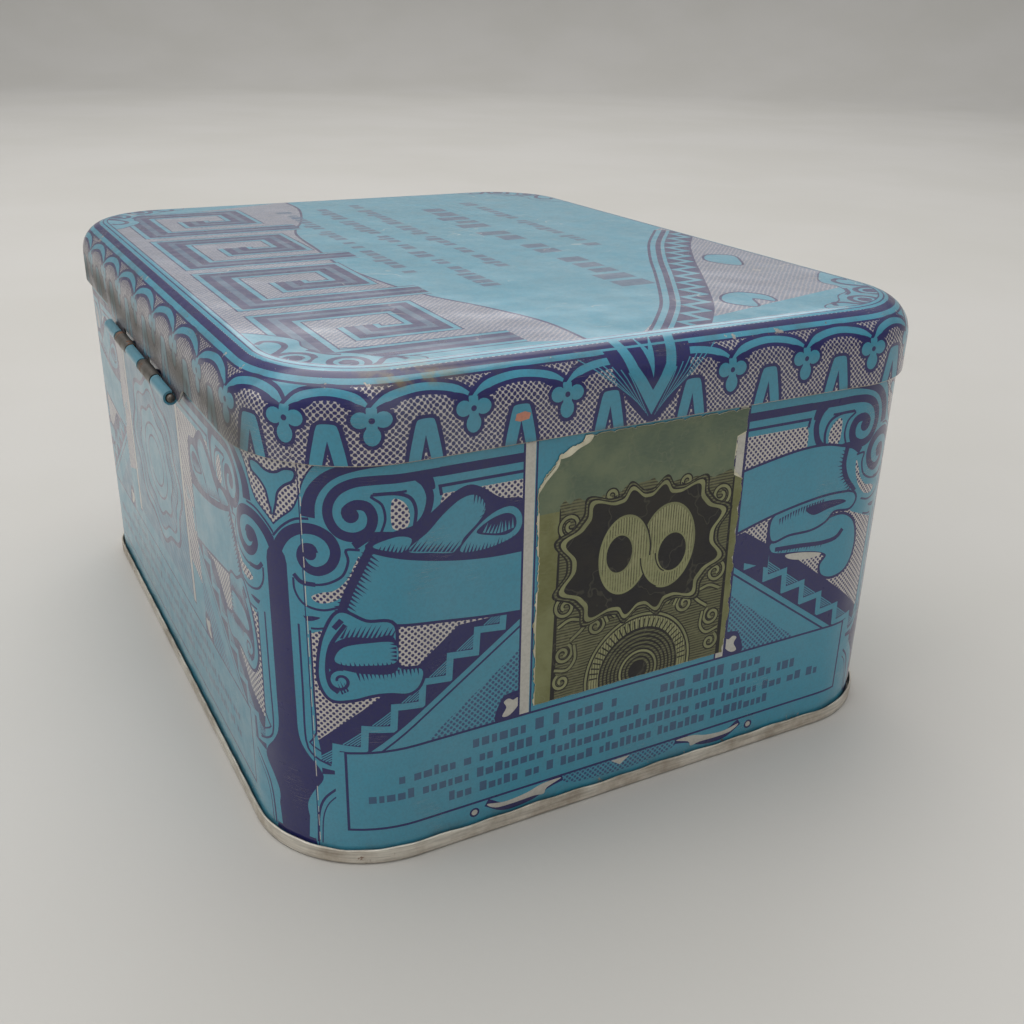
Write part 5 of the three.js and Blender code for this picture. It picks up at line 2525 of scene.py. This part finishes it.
@dataclass
class PaperSeal:
    """The torn paper seal on the end wall, engraved with a lobed shield and two linked rings."""

    sizes: Sizes
    thickness: float = 0.13
    lift: float = 0.02

    def outline(self) -> Array:
        """The torn edge of the sheet: straight cuts made ragged, a notch at the right, a tear at the left.

        Returns:
            The closed outline.
        """
        left, right, low, high = self.sizes.seal
        path = np.array([
            (left + 0.15, low), (right - 0.4, low), (right + 0.1, 24), (right - 0.1, 33), (right, 45.8),
            (
                right - 1.4, 46.6
            ), (right - 1.6, 49.4), (right - 1.4, 51.8), (right - 0.2, 52.4), (right + 0.1, high),
            (-11.3, high), (-11.6, 55.2), (-13.1, 54.4), (-14.9, 53.9), (-15.4, 52.6), (-17.0, 51.0),
            (-17.6, 50.0), (left - 0.1, 47.0), (left + 0.3, 38), (left - 0.1, 30), (left + 0.2, 23.5),
        ])
        ring = np.concatenate([path, path[:1]])
        reach = run_along(ring)
        stops = np.unique(np.concatenate([reach[:-1], np.arange(0, reach[-1], 0.3)]))
        fine = sampled(stops, reach, ring)
        rough = np.random.default_rng(5).normal(0, 0.07, fine.shape)
        rough += 0.12 * np.stack([np.sin(stops * 1.7), np.sin(stops * 2.3 + 1)], axis=1)
        rough[np.abs(fine[:, 1] - low) < 0.3] *= (1.0, 0.2)
        return np.clip(fine + rough, (-1e3, low - 0.05), (1e3, high))

    def art(self) -> Artwork:
        """The seal's print.

        Returns:
            The artwork.
        """
        left, right, low, _ = self.sizes.seal
        art = Artwork(Ink.SEAL_GREEN)
        pen = Pen(art)
        torn = 47.0
        pen.box(Ink.SEAL_MARGIN, left - 1, right + 1, low - 1, torn - 0.8)
        fray = np.random.default_rng(8).uniform(-0.5, 0.6, 40)
        across = np.linspace(-14.6, 13.0, 40)
        top = np.column_stack([across, torn + fray + 0.9 * np.exp(-(((across + 1) / 7) ** 2))])
        pen.area(Ink.SEAL_BLACK, np.concatenate([
            [(-15.1, low - 1), (13.4, low - 1)], top[::-1] + (0, -0.4)
        ]))
        pen.area(Ink.SEAL_ENGRAVED, np.concatenate([[
            (-14.4, low - 1), (12.7, low - 1), (12.7, 46)
        ], top[::-1], [(-14.4, 46)]]))
        self.rosette(pen)
        for mirror in (1, -1):
            self.scrolls(mirrored(pen, -1.0, mirror))
        self.shield(pen)
        self.rings(pen)
        pen.shape(Ink.TORN, [
            (-15.5, 53.4), (-13.6, 53.4), (-12.2, 54.2), (-10.4, 55.0), (-10.2, 56.4), (-12.0, 56.6),
            (-13.6, 55.4), (-15.2, 54.8),
        ], 0.4)
        pen.stroke([(-17.9, 49.2), (-16.8, 50.7), (-15.3, 52.3), (-14.9, 53.6)], 0.4, ink=Ink.TORN)
        pen.line(Ink.TORN, [
            (right + 0.1, 52.4), (right - 1.35, 51.9), (right - 1.5, 49.4), (right - 1.3, 46.6),
            (right, 45.9),
        ], 0.4)
        pen.line(Ink.TORN, [(left, 46.5), (left + 0.1, 38), (left, 30), (left + 0.1, low)], 0.3)
        return art

    def shield(self, pen: Pen) -> None:
        """The dark lobed shield: a rounded box whose edge swings in and out, with pale lines round it.

        Args:
            pen: draws it at its place.
        """
        t = np.linspace(0, 2 * math.pi, 240, endpoint=False)
        c, s = np.cos(t), np.sin(t)
        base = (np.abs(c / 11.6) ** 3 + np.abs(s / 8.4) ** 3) ** (-1 / 3)
        swing = 1 - 0.085 * np.cos(12 * t) + 0.02 * np.cos(24 * t)
        for ink, size in (
            (Ink.SEAL_BLACK, 1.13), (Ink.SEAL_ENGRAVED, 1.10), (Ink.SEAL_BLACK, 1.075),
            (Ink.SEAL_LIGHT, 1.045), (Ink.SEAL_BLACK, 0.985),
        ):
            pen.area(ink, np.stack([
                -1.1 + base * swing * size * c, 38.0 + base * swing * size * s
            ], axis=1))

    def rings(self, pen: Pen) -> None:
        """Two upright rings, pale and finely hatched, linked: each passes over the other once.

        Args:
            pen: draws it at its place.
        """
        for cx, cy, rx, ry, hole in (
            (2.6, 38.0, 4.5, 6.3, (3.4, 36.9, 2.3, 2.8)),
            (-4.4, 38.0, 4.0, 5.8, (-5.2, 38.3, 2.0, 2.7)),
        ):
            pen.area(Ink.SEAL_BLACK, ellipse(cx, cy, rx + 0.25, ry + 0.25, steps=52))
            pen.area(Ink.SEAL_LIGHT, ellipse(cx, cy, rx, ry, steps=52))
            pen.area(Ink.SEAL_HATCH, ellipse(cx, cy, rx - 0.35, ry - 0.35, steps=52))
            x, y, width, height = hole
            pen.area(Ink.SEAL_LIGHT, ellipse(x, y, width + 0.3, height + 0.3, steps=36))
            pen.area(Ink.SEAL_BLACK, ellipse(x, y, width, height, steps=36))
        over = arc(0.0, 0.0, 1.0, 186, 250, 16) * (3.5, 4.7) + (2.9, 37.6)
        for ink, width in ((Ink.SEAL_BLACK, 2.6), (Ink.SEAL_LIGHT, 2.2), (Ink.SEAL_HATCH, 1.6)):
            pen.line(ink, over, width)

    def rosette(self, pen: Pen) -> None:
        """Concentric engraved rings that rise from the sheet's lower edge.

        Args:
            pen: draws it at its place.
        """
        middle = (-0.9, 19.4)
        for ink, wide, tall in (
            (Ink.SEAL_BLACK, 9.0, 9.2),
            (Ink.SEAL_LIGHT, 8.8, 9.0),
            (Ink.SEAL_BLACK, 8.45, 8.65),
            (Ink.SEAL_HATCH, 8.2, 8.4),
            (Ink.SEAL_BLACK, 6.6, 6.8),
        ):
            pen.area(ink, ellipse(*middle, wide, tall, steps=60))
        for size in np.arange(6.1, 1.2, -0.62):
            ink = Ink.SEAL_LIGHT if 2.9 < size < 3.6 else Ink.SEAL_ENGRAVED
            pen.line(ink, ellipse(*middle, size, size * 1.02, steps=48), 0.34, closed=True)
        for turn in np.arange(2, 180, 6):
            a = math.radians(turn)
            ray = np.array([(math.cos(a), math.sin(a))])
            pen.line(Ink.SEAL_BLACK, np.concatenate([ray * 6.7, ray * 8.1]) + middle, 0.22)

    def scrolls(self, pen: Pen) -> None:
        """The curling leaves in the left corners; the right ones are their mirror image.

        Args:
            pen: draws it at its place.
        """
        for cx, cy, size, start, turns in (
            (-12.9, 43.9, 1.7, 250, -1.4),
            (-7.0, 47.0, 1.2, 180, 1.3),
            (-13.2, 32.2, 1.7, 90, 1.4),
            (-8.3, 28.3, 1.4, 60, -1.3),
            (-13.3, 25.2, 1.5, 60, -1.4),
            (-13.4, 20.9, 1.3, 120, 1.3),
        ):
            coil = spiral(cx, cy, size, size * 0.2, start, turns)
            pen.line(Ink.SEAL_BLACK, coil, 0.85)
            pen.line(Ink.SEAL_LIGHT, coil, 0.42)
        for path in (
            [
                (-14.4, 41.6), (-12.4, 41.3), (-10.9, 42.2), (-10.6, 44.4), (-9.8, 45.9), (-7.4, 45.8),
                (-5.9, 46.6),
            ],
            [
                (-14.6, 34.0), (-13.2, 34.3), (-11.6, 33.4), (-10.8, 31.6), (-9.2, 30.4), (-6.8, 30.2),
                (-5.2, 29.0),
            ],
            [(-14.2, 29.4), (-12.4, 30.2), (-10.4, 29.8), (-7.4, 29.8), (-6.4, 28.4)],
            [(-12.2, 27.0), (-10.6, 28.2), (-9.6, 29.4)],
            [(-14.6, 23.0), (-12.6, 22.6), (-11.4, 24.0), (-11.6, 26.2)],
        ):
            pen.stroke(path, 0.8, ink=Ink.SEAL_BLACK)
            pen.stroke(path, 0.4, ink=Ink.SEAL_LIGHT)

    def build(self) -> bpy.types.Object:
        """Makes the seal: its printed face and its back, a paper's thickness apart, and the torn edge.

        Returns:
            The seal as one object.
        """
        edge = self.outline()
        left, right, low, high = self.sizes.seal
        grid = [np.array([(u, low + 0.4), (u, high - 0.4)]) for u in np.arange(left + 2, right - 1, 2.0)]
        front = self.art().cut([edge], grid, lambda p: self.on_wall(p, self.thickness))
        back = Artwork(Ink.SEAL_MARGIN).cut([edge], grid, lambda p: self.on_wall(p, self.lift))
        rim = rounded_edge(
            self.on_wall(edge, self.lift)[0], self.on_wall(edge, self.thickness)[0], True, Ink.TORN, 2
        )
        return make_piece("torn_seal", [front, back.turned_inside_out(), rim])

    def on_wall(self, flat: Array, grow: float) -> tuple[Array, Array]:
        """Places and normals `grow` off the wall, with the paper's slight cockling.

        Args:
            flat: flat points of the artwork.
            grow: how far off the wall's outside.

        Returns:
            The places and the normals.
        """
        u, z = flat[:, 0], flat[:, 1]
        cockle = 0.035 * (1 + np.sin(u * 0.55 + 0.4 * np.sin(z * 0.3)) * np.sin(z * 0.42 + 1.0))
        return self.sizes.outline.on_wall(flat, grow + cockle)


# ---------------------------------------------------------------- studio


@dataclass
class Studio:
    """The pale floor with its low wall, the soft lights and the camera. Sizes are in metres."""

    flat_radius: float = 1.6
    bend_radius: float = 0.6
    wall_top: float = 1.0

    def floor(self) -> None:
        """A round pale floor that turns up into a low wall all round, in one wide bend."""
        bend = np.linspace(0, math.pi / 2, 24)
        far = self.flat_radius + self.bend_radius
        reach = np.concatenate([[1e-3, 0.5], self.flat_radius + self.bend_radius * np.sin(bend), [far]])
        rise = np.concatenate([[0.0, 0.0], self.bend_radius * (1 - np.cos(bend)), [self.wall_top]])
        turn = np.linspace(0, 2 * math.pi, 97)
        x, y = reach[:, None] * np.cos(turn), reach[:, None] * np.sin(turn)
        places = np.stack([x, y, np.broadcast_to(rise[:, None], x.shape)], axis=-1)
        index = np.arange(x.size).reshape(x.shape)
        faces = np.stack([
            index[:-1, :-1], index[1:, :-1], index[1:, 1:], index[:-1, 1:]
        ], axis=-1).reshape(-1, 4)
        mesh = bpy.data.meshes.new("floor")
        mesh.from_pydata(places.reshape(-1, 3).tolist(), [], faces.tolist())
        mesh.shade_smooth()
        n = Nodes("pale_floor")
        where = n.where()
        tone = n.mix(n.step(n.noise(where, 160, 3), 0.3, 0.7), colour(182, 180, 176), colour(178, 176, 171))
        mesh.materials.append(n.surface(
            Base_Color=tone, Roughness=0.9, Normal=n.bump((n.noise(where, 3, 4), 0.05))
        ))
        floor = bpy.data.objects.new("floor", mesh)
        bpy.context.scene.collection.objects.link(floor)

    def lights(self) -> None:
        """A pale even sky and four wide soft lamps: overhead, left, behind and off the seal's end."""
        world = bpy.data.worlds.new("soft_sky")
        bpy.context.scene.world = world
        world.use_nodes = True
        sky = world.node_tree.nodes["Background"]
        sky.inputs["Color"].default_value = (0.94, 0.96, 1.0, 1.0)
        sky.inputs["Strength"].default_value = 0.45
        for name, place, size, power in (
            ("overhead", (0.15, 0.10, 1.1), 1.1, 10.0),
            ("left", (0.1, 1.1, 0.7), 1.0, 4.0),
            ("behind", (1.3, -0.7, 1.2), 1.4, 10.8),
            ("end", (-1.3, 0.1, 0.5), 1.0, 3.0),
        ):
            data = bpy.data.lights.new(name, "AREA")
            data.size, data.energy, data.color = size, power, (1.0, 0.985, 0.96)
            lamp = bpy.data.objects.new(name, data)
            lamp.location = place
            lamp.rotation_euler = (-Vector(place)).to_track_quat("-Z", "Y").to_euler()
            bpy.context.scene.collection.objects.link(lamp)

    def camera(self) -> None:
        """The camera, close in, a little above the lid and turned slightly about its own line of sight."""
        azimuth, elevation, roll = math.radians(241.169), math.radians(23.587), math.radians(1.249)
        across, rise = math.cos(elevation), math.sin(elevation)
        forward = -Vector((math.sin(azimuth) * across, -math.cos(azimuth) * across, rise))
        right = forward.cross(Vector((0, 0, 1))).normalized()
        up = right.cross(forward)
        tilted_right = right * math.cos(roll) + up * math.sin(roll)
        tilted_up = up * math.cos(roll) - right * math.sin(roll)
        place = Vector((-174.817, 82.148, 102.747)) * MM
        data = bpy.data.cameras.new("camera")
        data.lens, data.sensor_width, data.shift_x = 39.76, 36.0, -0.0034
        data.clip_start = 0.01
        camera = bpy.data.objects.new("camera", data)
        basis = Matrix((tilted_right, tilted_up, -forward)).transposed().to_4x4()
        camera.matrix_world = Matrix.Translation(place) @ basis
        bpy.context.scene.collection.objects.link(camera)
        bpy.context.scene.camera = camera

    def build(self) -> None:
        """Makes the studio."""
        self.camera()
        self.floor()
        self.lights()
        bpy.context.scene.view_settings.view_transform = "Standard"


def main() -> None:
    """Builds the tin round its frame."""
    logging.basicConfig(level=logging.INFO, format="%(name)s: %(message)s")
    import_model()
    Studio().build()
    sizes = Sizes.read()

    plan = [
        (WallSheet(sizes).build(), "tin_body", ["body_wall"], "body_enamel"),
        (BottomPanel(sizes).build(), "tin_body", ["bottom_plate"], "bare_tinplate"),
        (PaperSeal(sizes).build(), "tin_body", ["paper_seal"], "printed_paper"),
        (LidShell(sizes).build(), "tin_lid", ["lid"], "lid_enamel"),
    ]
    hinge_nodes = (
        ("hinge_wire", "steel_wire"),
        ("hinge_tab_left", "bare_tinplate"),
        ("hinge_tab_right", "bare_tinplate"),
    )
    for piece, (node, slot) in zip(Hinge(sizes).build(), hinge_nodes):
        plan.append((piece, "tin_body", [node], slot))
    for piece, body, nodes, slot in plan:
        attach(piece, body)
        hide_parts(*nodes)
        log.info("%s rides on %s", piece.name, body)


if __name__ == "__main__":
    main()
